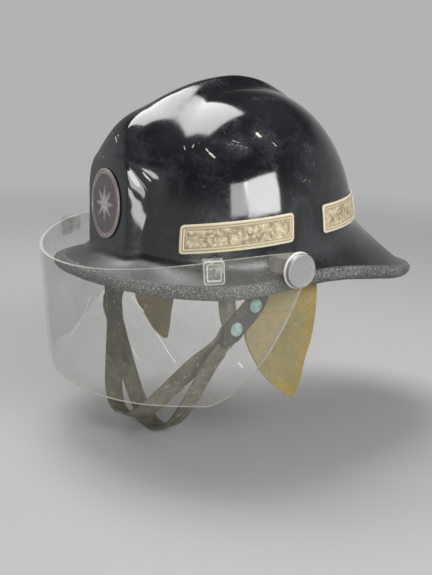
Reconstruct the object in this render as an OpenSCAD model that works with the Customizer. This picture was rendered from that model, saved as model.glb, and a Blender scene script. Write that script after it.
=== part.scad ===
// Fire helmet with a comb, a tilting visor, ear flaps and a chin strap.
// Front is -Y, the wearer's left is +X, and Z = 0 is the rim plane at the head's centre.

/* [Dome] */
// Half width of the dome
dome_half_w = 112; // [108:1:116]
// Reach of the dome in front of the head's centre
dome_front = 112; // [108:1:116]
// Reach of the dome behind the head's centre
dome_rear = 121; // [116:1:126]
// Height of the dome's top
dome_top = 158; // [152:1:166]
// Height up to which the dome's wall stands upright
dome_base = 20; // [16:1:24]
// How far the dome's top lies behind the head's centre
pole_back = 20; // [12:1:24]
// Squareness of the dome seen from above
plan_n = 2.15; // [2:0.05:2.4]
// Squareness of the dome seen from the side
rise_n = 2.15; // [2:0.05:2.4]
// Thickness of the glass-fibre wall
wall = 3; // [2.5:0.25:3.5]

/* [Brim] */
// How far the rim stands out beyond the dome in front
rim_front_out = 34; // [30:1:40]
// How far the rim stands out beyond the dome at the sides
rim_side_out = 12; // [9:1:16]
// How far the tail reaches out beyond the dome
rim_rear_out = 81; // [69:1:85]
// Height of the rim in front
rim_front_z = 8; // [5:1:10]
// Height of the rim at the cheeks, its lowest place in front
rim_cheek_z = 3; // [0:1:5]
// Height of the rim at the ears
rim_ear_z = 12; // [10:1:13]
// Height of the rim at the tail
rim_tail_z = -9; // [-14:1:-5]
// Height of the brim's flare in front and at the sides
flare_h = 20; // [18:1:24]
// Height of the brim's flare at the tail
tail_flare_h = 60; // [54:1:66]
// How fast the flare bends up into the dome in front and at the sides
flare_n = 2; // [1.8:0.1:2.2]
// How fast the flare bends up into the dome at the tail
tail_flare_n = 1.2; // [1.1:0.1:1.6]

/* [Front panel and comb] */
// How far the flat front panel stands out of the dome at its foot
panel_rise = 6; // [4:0.5:8]
// How far the panel's upper end stands out of the dome
panel_nose = 24; // [18:1:26]
// Half width of the panel's flat face
panel_half_w = 30; // [26:1:34]
// Width of the panel's flanks at their foot
panel_flank = 27; // [20:1:30]
// How far the comb stands out of the dome's top
comb_rise = 10; // [7:0.5:12]
// Half width of the comb at its root
comb_half_w = 13; // [11:1:16]

/* [Edge trim] */
// Thickness of the foam-rubber lips
trim_t = 3.4; // [2.8:0.2:4]
// Thickness of the trim beyond the rim's edge
trim_nose = 4.4; // [3.6:0.2:5]
// Depth of the lips on the brim
trim_lip = 6.5; // [5:0.5:7]

/* [Visor] */
// Thickness of the visor
visor_t = 2.5; // [2:0.25:3]
// Distance from the rim to the middle of the visor at the sides
visor_gap_side = 10.5; // [10:0.5:12]
// Distance from the rim to the middle of the visor in front
visor_gap_front = 14; // [13:0.5:16]
// Height of the visor's upper edge in front
visor_top = 15; // [12:1:18]
// Height of the visor's lower edge in front
visor_low = -88; // [-92:1:-82]
// Height of the visor's lower edge at the cheeks
visor_cheek_low = -84; // [-88:1:-80]
// How far the lower edge in front lies behind the upper edge
visor_taper = 9; // [6:1:12]
// Radius of the visor's round ears at the pivots
visor_ear_r = 12; // [11:0.5:13]
// Width of the clips on the visor's upper edge
clip_w = 16; // [14:1:18]

/* [Pivots] */
// Place of the pivots, from the head's centre
pivot_y = -22.5; // [-24:0.5:-21]
// Height of the pivots
pivot_z = 20; // [19:0.5:21]
// Radius of the pivot screws
screw_r = 3; // [2.5:0.25:3]
// Diameter of the clamping knobs
knob_d = 27; // [24:1:30]
// Thickness of the clamping knobs
knob_h = 4; // [3.5:0.5:6]
// Diameter of the washers under the knobs
washer_d = 29; // [27:1:32]

/* [Badge and markers] */
// Width of the badge
badge_w = 48; // [40:1:52]
// Height of the badge
badge_h = 58; // [50:1:62]
// Height of the badge's centre
badge_z = 59; // [56:1:62]
// Thickness of the badge
badge_t = 1.8; // [1.4:0.2:2.4]
// Height of the reflective markers
marker_h = 23; // [20:1:26]
// Thickness of the reflective markers
marker_t = 1.2; // [0.8:0.2:1.6]

/* [Harness] */
// Room between the dome and the inside of the headband at the sides
side_room = 34; // [32:1:38]
// Room between the dome and the inside of the headband in front and behind
end_room = 17.5; // [16.5:0.5:22]
// Thickness of the leather headband
band_t = 2; // [1.5:0.25:2.5]
// Height of the headband
band_h = 34; // [28:1:38]
// Thickness of the harness ring
ring_t = 2.2; // [1.8:0.2:2.6]
// Height of the crown tapes over the rim plane
crown_z = 130; // [124:1:131]
// Width of the crown tapes
tape_w = 20; // [16:1:22]
// Thickness of the impact liner
liner_t = 9; // [8:1:12]
// Height of the impact liner's lower edge
liner_low = 88; // [84:1:100]

/* [Straps and flaps] */
// Thickness of the straps
strap_t = 2.2; // [1.8:0.2:2.4]
// Width of the chin strap
strap_w = 19; // [16:1:20]
// Distance from the lower press stud down to the chin
chin_drop = 106; // [98:1:110]
// Depth of the strap under the chin
under_drop = 99; // [92:1:102]
// Width of the stud tabs
tab_w = 20; // [17:1:21]
// Thickness of the ear flaps
flap_t = 2.2; // [1.8:0.2:2.6]
// Diameter of the press studs
stud_d = 11.5; // [10:0.5:12.5]
// Radius of the rivets
rivet_r = 1.8; // [1.5:0.1:2]

/* [Fits] */
// Gap between pieces that lie against each other
seat_gap = 0.3; // [0.3:0.05:0.4]
// Radial clearance of shafts in their bores
run_gap = 0.05; // [0.03:0.01:0.08]
// Gap between curved pieces that lie against each other
curve_gap = 0.6; // [0.5:0.1:0.8]

/* [Hidden] */

fine = 48;
tiny = 0.01;

// Reach of the rim and of the headband
rim_front = dome_front + rim_front_out;
rim_half_w = dome_half_w + rim_side_out;
rim_rear = dome_rear + rim_rear_out;
head_half_w = dome_half_w - side_room;
head_half_l = (dome_front + dome_rear) / 2 - end_room;

// Angles from the front at which the rim is lowest and highest
cheek_a = 55;
ear_a = 100;

// Columns and rows of the shell's skin; columns follow the panel's ridge and foot
shell_cols = 64;
shell_rows = 16;
ridge_col = 4;
foot_col = 8;

// Centre of the fan that gives the ridge's height and width, its first angle and its steps
fan_y = 10;
fan_z = 35;
fan_from = -10;
fan_step = 10;
ridge_rise = [panel_rise, panel_rise, panel_rise * 1.45, panel_nose * 0.6, panel_nose * 0.92,
    panel_nose, comb_rise * 1.6, comb_rise * 1.22, comb_rise * 1.06, comb_rise, comb_rise,
    comb_rise * 0.82, comb_rise * 0.6, comb_rise * 0.52, comb_rise * 0.45, comb_rise * 0.3,
    comb_rise * 0.1, 0, 0];
ridge_half = [for (u = [0.95, 1, 1.03, 1.07, 0.88, 0.3]) u * panel_half_w,
    for (u = [0.15, 0.15, 0.15, 0.15, 0.15, 0.15, 0.15, 0.15, 0.15, 0.15, 0.5, 1, 1.4]) u * comb_half_w];
ridge_foot = [for (u = [0.6, 0.6, 0.6, 0.41, 0.05, -0.2]) panel_half_w + u * panel_flank,
    for (u = [3.2, 2.9, 2.6, 2.3, 2.1, 2, 2, 2, 2.1, 2.2, 2.4, 2.6, 3.4]) u * comb_half_w];
// Foot of the comb's broad sides, which run out behind the panel
roof_foot = [for (u = [4.5, 4.5, 4.5, 4.5, 4.5, 4.2, 3.5, 2.6, 1.9, 1.6, 1.5, 1.5, 1.6, 1.8, 2, 2.2, 2.4, 2.6, 3.4])
    u * comb_half_w];

// Layers at the pivots, from the head's middle outwards
visor_x = rim_half_w + visor_gap_side;
visor_in_x = visor_x - visor_t / 2;
visor_out_x = visor_x + visor_t / 2;
washer_t = 1.6;
washer_x = visor_out_x + seat_gap;
knob_x = washer_x + washer_t + seat_gap;
knob_bore = knob_h - 1.2;
spacer_half_a = 4;
spacer_low = pivot_z - 4;
spacer_high = pivot_z + 8;
pad_half_a = 5;
pad_x = dome_half_w - wall - 4.9;
tab_x = pad_x - seat_gap - strap_t / 2;
head_t = 3;
head_r = 5.5;
screw_in_x = tab_x - strap_t / 2 - seat_gap;
screw_out_x = knob_x + knob_bore - 0.5;

// Straps hang in layers at the lower press stud, the tab outermost
stud_y = pivot_y - 30.3;
stud_z = pivot_z - 52.2;
stud_up_y = pivot_y - 12.1;
stud_up_z = pivot_z - 34.8;
stud_tab_x = tab_x - 3.6;
branch_x = stud_tab_x - strap_t - curve_gap;
chin_x = branch_x - strap_t - seat_gap;
under_x = chin_x + strap_t + seat_gap;
stud_r = 2;
stud_cap_t = 2.6;
branch_a = 60;
branch_depth = 7.6;
branch_y = 3 - dome_r(branch_a, 0) * cos(branch_a);
branch_top_x = dome_r(branch_a, 0) * sin(branch_a) - wall - branch_depth;
branch_w = 16;
chin_dir = [0, -0.42, -0.907];
under_dir = [0, -0.02, -1];

// Ear flaps hang from a line beside the harness
hinge_z = pivot_z - 2;
hinge_x = dome_half_w - wall - 8.5;
hinge_t = 1.8;
flap_front_y = -36;
flap_rear_y = 24;
flap_edges = [[0, -13, 19], [12, -17.5, 24.5], [24, -22.5, 26.5], [36, -27.5, 24], [48, -32.5, 22],
    [60, -35.8, 21.4], [70, -32.3, 21], [82, -26.3, 18.2], [94, -19, 15], [106, -8, 12.5], [117, 5, 9.5]];

// Headband's centre and the harness's angles from the front
band_y = (dome_rear - dome_front) / 2;
band_z = 12;
ring_h = 18;
ring_z = 22;
ring_off = band_t + 2.2;
ring_out = ring_off + ring_t;
tape_t = 1.3;
tape_z = ring_z + 2;
tape_step = tape_t + 1.1;
anchor_angles = [38, 142, 218, 322];
tape_angles = [0, 90, 62, 298];

// Markers: angles from the front at their ends, and heights of their middle there
side_marker = [[38.5, 38], [86, 49]];
rear_marker = [[103, 53], [143.5, 59.5]];

// Basic curves
function mix(a, b, u) = a + (b - a) * u;
function clamp(u) = min(1, max(0, u));
function ease(u) = (1 - cos(180 * clamp(u))) / 2;
function unit(v) = v / norm(v);

// Point on a smooth curve through the control values p, u from 0 to 1
function curve(p, u) =
    let (n = len(p) - 1, q = min(n - 1, floor(u * n)), f = u * n - q)
    let (a = p[max(0, q - 1)], b = p[q], c = p[q + 1], d = p[min(n, q + 2)])
    0.5 * (2 * b + (c - a) * f + (2 * a - 5 * b + 4 * c - d) * f * f
        + (3 * b - a - 3 * c + d) * f * f * f);

// Radius of a superellipse at angle t from the front
function plan_r(t, w, f, r, n) =
    let (l = cos(t) > 0 ? f : r)
    1 / pow(pow(abs(sin(t)) / w, n) + pow(abs(cos(t)) / l, n), 1 / n);

function from_front(t) = let (m = ((t % 360) + 360) % 360) min(m, 360 - m);
function rim_z(t) =
    let (a = from_front(t))
    a < cheek_a ? mix(rim_front_z, rim_cheek_z, ease(a / cheek_a))
    : a < ear_a ? mix(rim_cheek_z, rim_ear_z, ease((a - cheek_a) / (ear_a - cheek_a)))
    : mix(rim_ear_z, rim_tail_z, ease((a - ear_a) / (180 - ear_a)));
function tail_share(t) = ease((from_front(t) - ear_a) / 70);
function brim_h(t) = mix(flare_h, tail_flare_h, tail_share(t));
function brim_n(t) = mix(flare_n, tail_flare_n, tail_share(t));
function dome_r(t, out) =
    plan_r(t, dome_half_w + out, dome_front + out, dome_rear + out, plan_n);
function flare(t) = plan_r(t, rim_half_w, rim_front, rim_rear, plan_n) - dome_r(t, 0);

// Share of the dome's plan that is left at height z, and the plain skin without comb and panel
function dome_s(z, out) =
    let (u = clamp((z - dome_base) / (dome_top + out - dome_base)))
    pow(1 - pow(u, rise_n), 1 / rise_n);
function skin(t, z, out = 0) =
    let (s = dome_s(z, out), u = clamp((z - rim_z(t)) / brim_h(t)))
    let (r = s * dome_r(t, out) + flare(t) * pow(1 - u, brim_n(t)))
    [r * sin(t), pole_back * (1 - s) - r * cos(t), z];

// Point at the distance out from the skin, square to the flare's slope
function seat(t, z, out) =
    let (u = clamp((z - rim_z(t)) / brim_h(t)))
    let (slope = flare(t) * brim_n(t) * pow(1 - u, brim_n(t) - 1) / brim_h(t))
    skin(t, z, out * sqrt(1 + slope * slope));

// Ridge of panel and comb: fan angle at height z in front or behind, and values along the fan
function fan_a(z, back) =
    let (s = dome_s(z, 0), y = pole_back * (1 - s) + s * (back ? dome_rear : -dome_front))
    atan2(z - fan_z, fan_y - y);
function fan_at(p) =
    let (a = fan_a(p.z, p.y > pole_back * (1 - dome_s(p.z, 0))), b = atan2(p.z - fan_z, fan_y - p.y))
    mix(a, b, ease((b - 40) / 25));
function fan(p, a) =
    let (n = len(p) - 1) curve(p, clamp((a - fan_from) / fan_step / n));
function ridge_turn(a) = a * ease((a - 30) / 20);
// The panel's flat face and the comb's broad sides, joined by a soft maximum
function ridge_lift(p) =
    let (a = fan_at(p), side = abs(p.x), x = side / dome_half_w)
    let (drop = dome_front * (1 - pow(1 - pow(min(x, 0.9), plan_n), 1 / plan_n)))
    let (crest = fan(ridge_rise, a), half = fan(ridge_half, a))
    let (foot = fan(ridge_foot, a), wide = fan(roof_foot, a))
    let (face = (crest + 0.8 * drop * (1 - ease((a - 20) / 20)))
        * ease((foot - side) / (foot - half)) * (1 - ease((a - 30) / 12)))
    let (roof = crest * ease((a - 10) / 22) * ease((wide - side) / (wide - half)))
    max(0, (face + roof) / 2 + sqrt(pow(face - roof, 2) / 4 + 1) - 1) * ease((p.z - 12) / 16);
function dressed(p) =
    let (a = ridge_turn(fan_at(p)), c = ridge_lift(p))
    [p.x, p.y - c * cos(a), p.z + c * sin(a)];

// Grids of points: normals, offsets and the solids between two skins
function grid_normal(g, i, j, wrap) =
    let (n = len(g), m = len(g[0]))
    let (a = g[min(i + 1, n - 1)][j] - g[max(i - 1, 0)][j])
    let (b = wrap ? g[i][(j + 1) % m] - g[i][(j + m - 1) % m]
        : g[i][min(j + 1, m - 1)] - g[i][max(j - 1, 0)])
    unit(cross(a, b));
function offset_grid(g, d, wrap = false) =
    [for (i = [0:len(g) - 1]) [for (j = [0:len(g[0]) - 1]) g[i][j] + d * grid_normal(g, i, j, wrap)]];
function mirrored_grid(g) = [for (r = g) [for (p = r) [-p.x, p.y, p.z]]];

function quad(a, b, c, d) = [[a, c, b], [a, d, c]];
function skin_faces(n, m, wrap, base, turn) =
    [for (i = [0:n - 2], j = [0:(wrap ? m - 1 : m - 2)])
        let (k = (j + 1) % m, a = base + i * m + j, b = base + i * m + k)
        let (c = base + (i + 1) * m + k, d = base + (i + 1) * m + j)
        each (turn ? quad(a, b, c, d) : quad(d, c, b, a))];
function wall_faces(ring_a, ring_b) =
    let (m = len(ring_a))
    [for (j = [0:m - 1]) let (k = (j + 1) % m)
        each quad(ring_a[j], ring_a[k], ring_b[k], ring_b[j])];

// Solid between skins a and b, which are open on all four sides
module slab(a, b) {
    n = len(a);
    m = len(a[0]);
    k = n * m;
    rim = concat([for (j = [0:m - 1]) j], [for (i = [1:n - 1]) i * m + m - 1],
        [for (j = [m - 2:-1:0]) (n - 1) * m + j], [for (i = [n - 2:-1:1]) i * m]);
    polyhedron(concat([for (r = a) each r], [for (r = b) each r]),
        concat(skin_faces(n, m, false, 0, false), skin_faces(n, m, false, k, true),
            wall_faces(rim, [for (v = rim) v + k])));
}

// Solid between skins a and b, closed round and open above and below
module sleeve(a, b) {
    n = len(a);
    m = len(a[0]);
    k = n * m;
    low = [for (j = [0:m - 1]) j];
    high = [for (j = [m - 1:-1:0]) (n - 1) * m + j];
    polyhedron(concat([for (r = a) each r], [for (r = b) each r]),
        concat(skin_faces(n, m, true, 0, false), skin_faces(n, m, true, k, true),
            wall_faces(low, [for (v = low) v + k]), wall_faces(high, [for (v = high) v + k])));
}

// Solid between skins a and b, closed round and closed above at the points tip_a and tip_b
module bowl(a, b, tip_a, tip_b) {
    n = len(a);
    m = len(a[0]);
    k = n * m;
    low = [for (j = [0:m - 1]) j];
    top = (n - 1) * m;
    polyhedron(concat([for (r = a) each r], [for (r = b) each r], [tip_a, tip_b]),
        concat(skin_faces(n, m, true, 0, false), skin_faces(n, m, true, k, true),
            wall_faces(low, [for (v = low) v + k]),
            [for (j = [0:m - 1]) [top + j, top + (j + 1) % m, 2 * k]],
            [for (j = [0:m - 1]) [k + top + (j + 1) % m, k + top + j, 2 * k + 1]]));
}

// Closed tube through rings of points, which returns to its first ring
module hoop(rings) {
    polyhedron([for (r = rings) each r],
        [for (i = [0:len(rings) - 1], j = [0:len(rings[0]) - 1])
            let (m = len(rings[0]), q = (i + 1) % len(rings), k = (j + 1) % m)
            each quad(i * m + j, i * m + k, q * m + k, q * m + j)]);
}

module sheet(g, t) slab(offset_grid(g, t / 2), offset_grid(g, -t / 2));
module on_both_sides() {
    children();
    mirror([1, 0, 0]) children();
}
module along_x(x, y, z, r, len) translate([x, y, z]) rotate([0, 90, 0]) cylinder(h = len, r = r, $fn = fine);

// Shell: heights of one column's rows, then the outer and inner skins
function lip_u(t) =
    let (slope = brim_n(t) * flare(t) / brim_h(t))
    trim_lip / sqrt(1 + slope * slope) / brim_h(t);
brim_us = [0, 0.5, 1, 1.22, 1.48, 1.74, 2];
brim_rows = len(brim_us);
function row_share(i) = sin(90 * (i - brim_rows + 1) / (shell_rows + 0.5));
function row_z(i, t) =
    let (low = rim_z(t), h = brim_h(t), lip = lip_u(t), u = brim_us[min(i, brim_rows - 1)])
    i < brim_rows ? low + h * (u < 1 ? lip * u : mix(lip, 1, u - 1))
    : mix(low + h, dome_top, row_share(i));
function edge_a(x, z) = asin(min(0.8, x / max(dome_s(z, 0), tiny) / dome_half_w));
function column_a(j, z) =
    let (q = shell_cols / 4, k = j % (2 * q), m = min(k, 2 * q - k), back = j > q && j < 3 * q)
    let (a = fan_a(z, back), r = edge_a(fan(ridge_half, a), z), f = edge_a(fan(ridge_foot, a), z))
    let (t = m < ridge_col ? r * m / ridge_col
        : m < foot_col ? mix(r, f, (m - ridge_col) / (foot_col - ridge_col))
        : mix(f, 90, (m - foot_col) / (q - foot_col)))
    j <= q ? t : j <= 2 * q ? 180 - t : j < 3 * q ? 180 + t : 360 - t;
function cell_a(i, j) =
    let (base = column_a(j, dome_base))
    i < brim_rows ? base
    : column_a(j, row_z(i, column_a(j, row_z(i, base))));
shell_out = [for (i = [0:brim_rows + shell_rows - 1]) [for (j = [0:shell_cols - 1])
    let (t = cell_a(i, j)) dressed(skin(t, row_z(i, t)))]];
shell_in = offset_grid(shell_out, wall, true);
shell_tip = dressed([0, pole_back, dome_top - tiny]);

module shell() {
    color([0.05, 0.05, 0.06]) difference() {
        bowl(shell_in, shell_out, shell_tip - [0, 0, wall], shell_tip);
        along_x(-rim_half_w, pivot_y, pivot_z, screw_r + run_gap, 2 * rim_half_w);
        for (z = badge_pins)
            translate([0, 0, z]) rotate([90, 0, 0])
                cylinder(h = 2 * dome_front, r = pin_r + run_gap, $fn = fine);
    }
}

// Trim: a channel whose lips lie on the brim's upper and lower skins
module edge_trim() {
    n = [for (i = [0:2]) [for (j = [0:shell_cols - 1]) -grid_normal(shell_out, i, j, true)]];
    g = seat_gap;
    h = seat_gap + trim_t;
    color([0.5, 0.5, 0.48]) hoop([for (j = [0:shell_cols - 1])
        let (o = [for (i = [0:2]) shell_out[i][j]], q = [for (i = [0:2]) shell_in[i][j]])
        let (e = unit(o[0] - o[1]), m = (o[0] + q[0]) / 2)
        [o[2] + n[2][j] * g, o[2] + n[2][j] * h * 0.75, mix(o[2], o[1], 0.3) + n[1][j] * h,
            o[0] + n[0][j] * h, m + n[0][j] * h * 0.7 + e * trim_nose * 0.8, m + e * (trim_nose + g),
            m - n[0][j] * h * 0.7 + e * trim_nose * 0.8, q[0] - n[0][j] * h,
            mix(q[2], q[1], 0.3) - n[1][j] * h, q[2] - n[2][j] * h * 0.75, q[2] - n[2][j] * g,
            q[1] - n[1][j] * g, q[0] - n[0][j] * g + e * g, o[0] + n[0][j] * g + e * g,
            o[1] + n[1][j] * g]]);
}

// Visor: a tapered sheet with round ears at the pivots and swept rear edges
visor_cy = pivot_y - visor_ear_r - 3.5;
visor_n = 2.06;
visor_reach = rim_front + visor_gap_front + visor_cy;
visor_corner_y = pivot_y - 71.3;
visor_end_y = pivot_y + 0.97 * visor_ear_r;
visor_sweep_y = pivot_y + 0.7 * visor_ear_r;
visor_side_top = pivot_z + visor_ear_r + 1.5;
visor_cols = 22;
visor_rows = 8;
function visor_xy(a, drop) =
    let (f = visor_reach - visor_taper * drop)
    let (r = abs(a) > 90 ? visor_x / sin(abs(a)) : plan_r(a, visor_x, f, f, visor_n))
    [r * sin(a), visor_cy - r * cos(a)];
function ear_half(y) = sqrt(max(0, visor_ear_r * visor_ear_r - (y - pivot_y) * (y - pivot_y)));
function visor_high_z(y) =
    y > pivot_y ? mix(pivot_z, visor_side_top, ear_half(y) / visor_ear_r)
    : mix(visor_side_top, visor_top, 1 - sin(90 * clamp((y + visor_reach - visor_cy) / 118)));
function visor_low_z(y) =
    let (u = clamp((y - visor_corner_y) / (visor_sweep_y - visor_corner_y)))
    let (sweep = mix(pivot_z - visor_ear_r + 3.4, visor_cheek_low, pow(1 - pow(u, 1.51), 0.87)))
    y < visor_corner_y ? mix(visor_cheek_low, visor_low, ease((visor_corner_y - y) / 60))
    : abs(y - pivot_y) < visor_ear_r ? min(sweep, pivot_z - ear_half(y))
    : sweep;
visor_end_a = 90 + atan((visor_end_y - visor_cy) / visor_x);
visor_angles = [for (j = [-visor_cols:visor_cols])
    let (u = abs(j) / visor_cols) sign(j) * visor_end_a * (1 - pow(1 - u, 1.6))];
visor_grid = [for (i = [0:visor_rows]) [for (a = visor_angles)
    let (y = visor_xy(a, 0).y, z = mix(visor_low_z(y), visor_high_z(y), i / visor_rows))
    let (p = visor_xy(a, (visor_high_z(y) - z) / (visor_top - visor_low)))
    [p.x, p.y, z]]];

module visor() {
    color([0.75, 0.75, 0.7, 0.4]) difference() {
        sheet(visor_grid, visor_t);
        along_x(-knob_x, pivot_y, pivot_z, screw_r + run_gap, 2 * knob_x);
    }
}

// Clip: a U over the visor's upper edge, with a window in its outer plate
clip_a = 66;
clip_plate = 2.2;
clip_pad = 5;
clip_drop = 16.5;
clip_cap = 1.2;
clip_room = visor_t / 2 + 1;
clip_seat = 0.5;
module visor_clip() {
    p = visor_xy(clip_a, 0);
    ahead = visor_xy(clip_a + 1, 0) - visor_xy(clip_a - 1, 0);
    climb = visor_high_z(p.y + ahead.y / 2) - visor_high_z(p.y - ahead.y / 2);
    outward = [ahead.y, -ahead.x] / norm(ahead);
    lean = (p - visor_xy(clip_a, 1)) * outward / (visor_top - visor_low);
    color([0.8, 0.8, 0.76]) translate([p.x, p.y, visor_high_z(p.y)])
        rotate([0, 0, atan2(ahead.y, ahead.x) - 90])
        rotate([atan(climb / norm(ahead)) / 2, atan(lean), 0])
        difference() {
            rotate([90, 0, 0]) translate([0, 0, -clip_w / 2]) linear_extrude(clip_w)
                polygon([[clip_room, -clip_drop], [clip_room + clip_plate, -clip_drop],
                    [clip_room + clip_plate, clip_seat + clip_cap],
                    [-clip_room - clip_pad, clip_seat + clip_cap],
                    [-clip_room - clip_pad, -clip_drop * 0.7], [-clip_room, -clip_drop * 0.7],
                    [-clip_room, clip_seat], [clip_room, clip_seat]]);
            translate([clip_room + clip_plate / 2, -clip_w / 4, -clip_drop * 0.8])
                cube([clip_plate, clip_w / 2, clip_drop * 0.6]);
        }
}

// Blocks that fill the space between the curved wall and a flat plane at x
function wall_block(x, out, a, half_a, low, high) =
    [for (z = [0:3]) [for (k = [-2:2])
        let (p = seat(a + half_a * k / 2, mix(low, high, z / 3), out)) [x, p.y, p.z]]];
function wall_patch(out, a, half_a, low, high) =
    [for (z = [0:3]) [for (k = [-2:2]) seat(a + half_a * k / 2, mix(low, high, z / 3), out)]];
pivot_a = 90 + atan(pivot_y / dome_half_w);

module visor_spacer() {
    color([0.85, 0.82, 0.7]) difference() {
        slab(wall_patch(curve_gap, pivot_a, spacer_half_a, spacer_low, spacer_high),
            wall_block(visor_in_x - seat_gap, curve_gap, pivot_a, spacer_half_a, spacer_low, spacer_high));
        along_x(dome_half_w / 2, pivot_y, pivot_z, screw_r + run_gap, dome_half_w);
    }
}

module pivot_pad() {
    out = -wall - curve_gap;
    color([0.35, 0.3, 0.25]) difference() {
        slab(wall_block(pad_x, out, pivot_a, pad_half_a, pivot_z - 7, pivot_z + 7),
            wall_patch(out, pivot_a, pad_half_a, pivot_z - 7, pivot_z + 7));
        along_x(dome_half_w / 2, pivot_y, pivot_z, screw_r + run_gap, dome_half_w);
    }
}

module pivot_screw() {
    color([0.6, 0.6, 0.6]) {
        along_x(screw_in_x - tiny, pivot_y, pivot_z, screw_r, screw_out_x - screw_in_x);
        along_x(screw_in_x - head_t, pivot_y, pivot_z, head_r, head_t);
    }
}

module knob_washer() {
    color([0.85, 0.83, 0.78]) difference() {
        along_x(washer_x, pivot_y, pivot_z, washer_d / 2, washer_t);
        along_x(washer_x - 1, pivot_y, pivot_z, screw_r + run_gap, washer_t + 2);
    }
}

module knob() {
    bevel = 0.8;
    r = knob_d / 2;
    color([0.75, 0.75, 0.76]) difference() {
        translate([knob_x, pivot_y, pivot_z]) rotate([0, 90, 0]) rotate_extrude($fn = 2 * fine)
            polygon([[0, 0], [r - bevel / 2, 0], [r, bevel / 2], [r, knob_h - bevel],
                [r - bevel, knob_h], [0, knob_h]]);
        along_x(knob_x - 1, pivot_y, pivot_z, screw_r + run_gap, knob_bore + 1);
    }
}

// Badge: an oval plate bent to the front panel, with two pins through the shell
badge_pins = [badge_z - badge_h / 4, badge_z + badge_h / 4];
pin_r = 1.5;
badge_rings = 6;
badge_cols = 40;
function front_y(x, z) =
    let (s = dome_s(z, 0), y = pole_back * (1 - s)
        - s * dome_front * pow(1 - pow(abs(x) / s / dome_half_w, plan_n), 1 / plan_n))
    y - ridge_lift([x, y, z]);
function badge_point(u, a, out) =
    let (x = u * badge_w / 2 * sin(a), z = badge_z + u * badge_h / 2 * cos(a))
    [x, front_y(x, z) - out, z];
function badge_relief(u) = badge_t * (0.8 + 0.4 * ease((u - 0.7) / 0.15) * (u < 1 ? 1 : 0)) + curve_gap;
module badge() {
    u = [for (k = [badge_rings:-1:1]) k / badge_rings];
    back = [for (v = u) [for (j = [0:badge_cols - 1]) badge_point(v, -360 * j / badge_cols, curve_gap)]];
    face = [for (v = u) [for (j = [0:badge_cols - 1])
        badge_point(v, -360 * j / badge_cols, badge_relief(v))]];
    color([0.55, 0.5, 0.5]) {
        bowl(back, face, badge_point(0, 0, curve_gap), badge_point(0, 0, badge_relief(0)));
        for (z = badge_pins)
            translate([0, front_y(0, z) - curve_gap - badge_t / 2, z]) rotate([-90, 0, 0])
                cylinder(h = wall + 7, r = pin_r, $fn = fine);
    }
}

module badge_retainers() {
    color([0.6, 0.6, 0.6]) for (z = badge_pins)
        translate([0, front_y(0, z) + wall + 1.6, z]) rotate([-90, 0, 0]) difference() {
            cylinder(h = 1, r = 4, $fn = fine);
            translate([0, 0, -1]) cylinder(h = 3, r = pin_r + run_gap, $fn = fine);
        }
}

// Markers: thin plates with round corners, bent to the dome
marker_corner = 3;
marker_cols = 14;
module marker(ends) {
    low = ends[0];
    high = ends[1];
    length = norm(skin(high.x, high.y) - skin(low.x, low.y));
    u = [for (k = [0:marker_cols]) (1 - cos(180 * k / marker_cols)) / 2];
    grids = [for (out = [curve_gap, curve_gap + marker_t]) [for (i = [-2:2]) [for (v = u)
        let (d = min(v, 1 - v) * length, c = max(0, marker_corner - d))
        let (half = marker_h / 2 - marker_corner + sqrt(marker_corner * marker_corner - c * c + tiny))
        skin(mix(low.x, high.x, v), mix(low.y, high.y, v) + half * i / 2, out)]]];
    color([0.85, 0.8, 0.62]) slab(grids[0], grids[1]);
}

// Impact liner: a cap of foam inside the crown
liner_cols = 36;
liner_rows = 9;
function liner_skin(out) =
    [for (k = [0:liner_rows - 1]) [for (j = [0:liner_cols - 1])
        skin(360 * j / liner_cols,
            mix(liner_low, dome_top + out, sin(90 * k / liner_rows)), out)]];
module impact_liner() {
    o = -wall - curve_gap - 0.4;
    color([0.86, 0.85, 0.8]) bowl(liner_skin(o - liner_t), liner_skin(o),
        [0, pole_back, dome_top + o - liner_t], [0, pole_back, dome_top + o]);
}

// Points on the oval of the headband at parameter t, and their outward direction
function band_point(t, z, off) =
    [(head_half_w + off) * sin(t), band_y - (head_half_l + off) * cos(t), z];
function band_turn(t) = atan2(-(head_half_w + ring_out) * cos(t), (head_half_l + ring_out) * sin(t));
band_cols = 48;
function band_skin(low, high, off) =
    [for (z = [low, (low + high) / 2, high]) [for (j = [0:band_cols - 1])
        band_point(360 * j / band_cols, z, off)]];
module at_band(t, z, off)
    translate(band_point(t, z, 0)) rotate([0, 0, band_turn(t)]) translate([off, 0, 0]) children();

module headband() {
    color([0.4, 0.26, 0.15]) sleeve(band_skin(band_z, band_z + band_h, 0),
        band_skin(band_z, band_z + band_h, band_t));
}

rivet_z = tape_z + 7;
tape_ends = [for (a = tape_angles) each [a, (a + 180) % 360]];
rivet_angles = concat(anchor_angles, tape_ends);
module harness_ring() {
    color([0.15, 0.15, 0.15]) difference() {
        sleeve(band_skin(ring_z, ring_z + ring_h, ring_off), band_skin(ring_z, ring_z + ring_h, ring_out));
        for (t = rivet_angles) at_band(t, rivet_z, 0) along_x(0, 0, 0, rivet_r + run_gap, ring_out + 5);
    }
}

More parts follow.
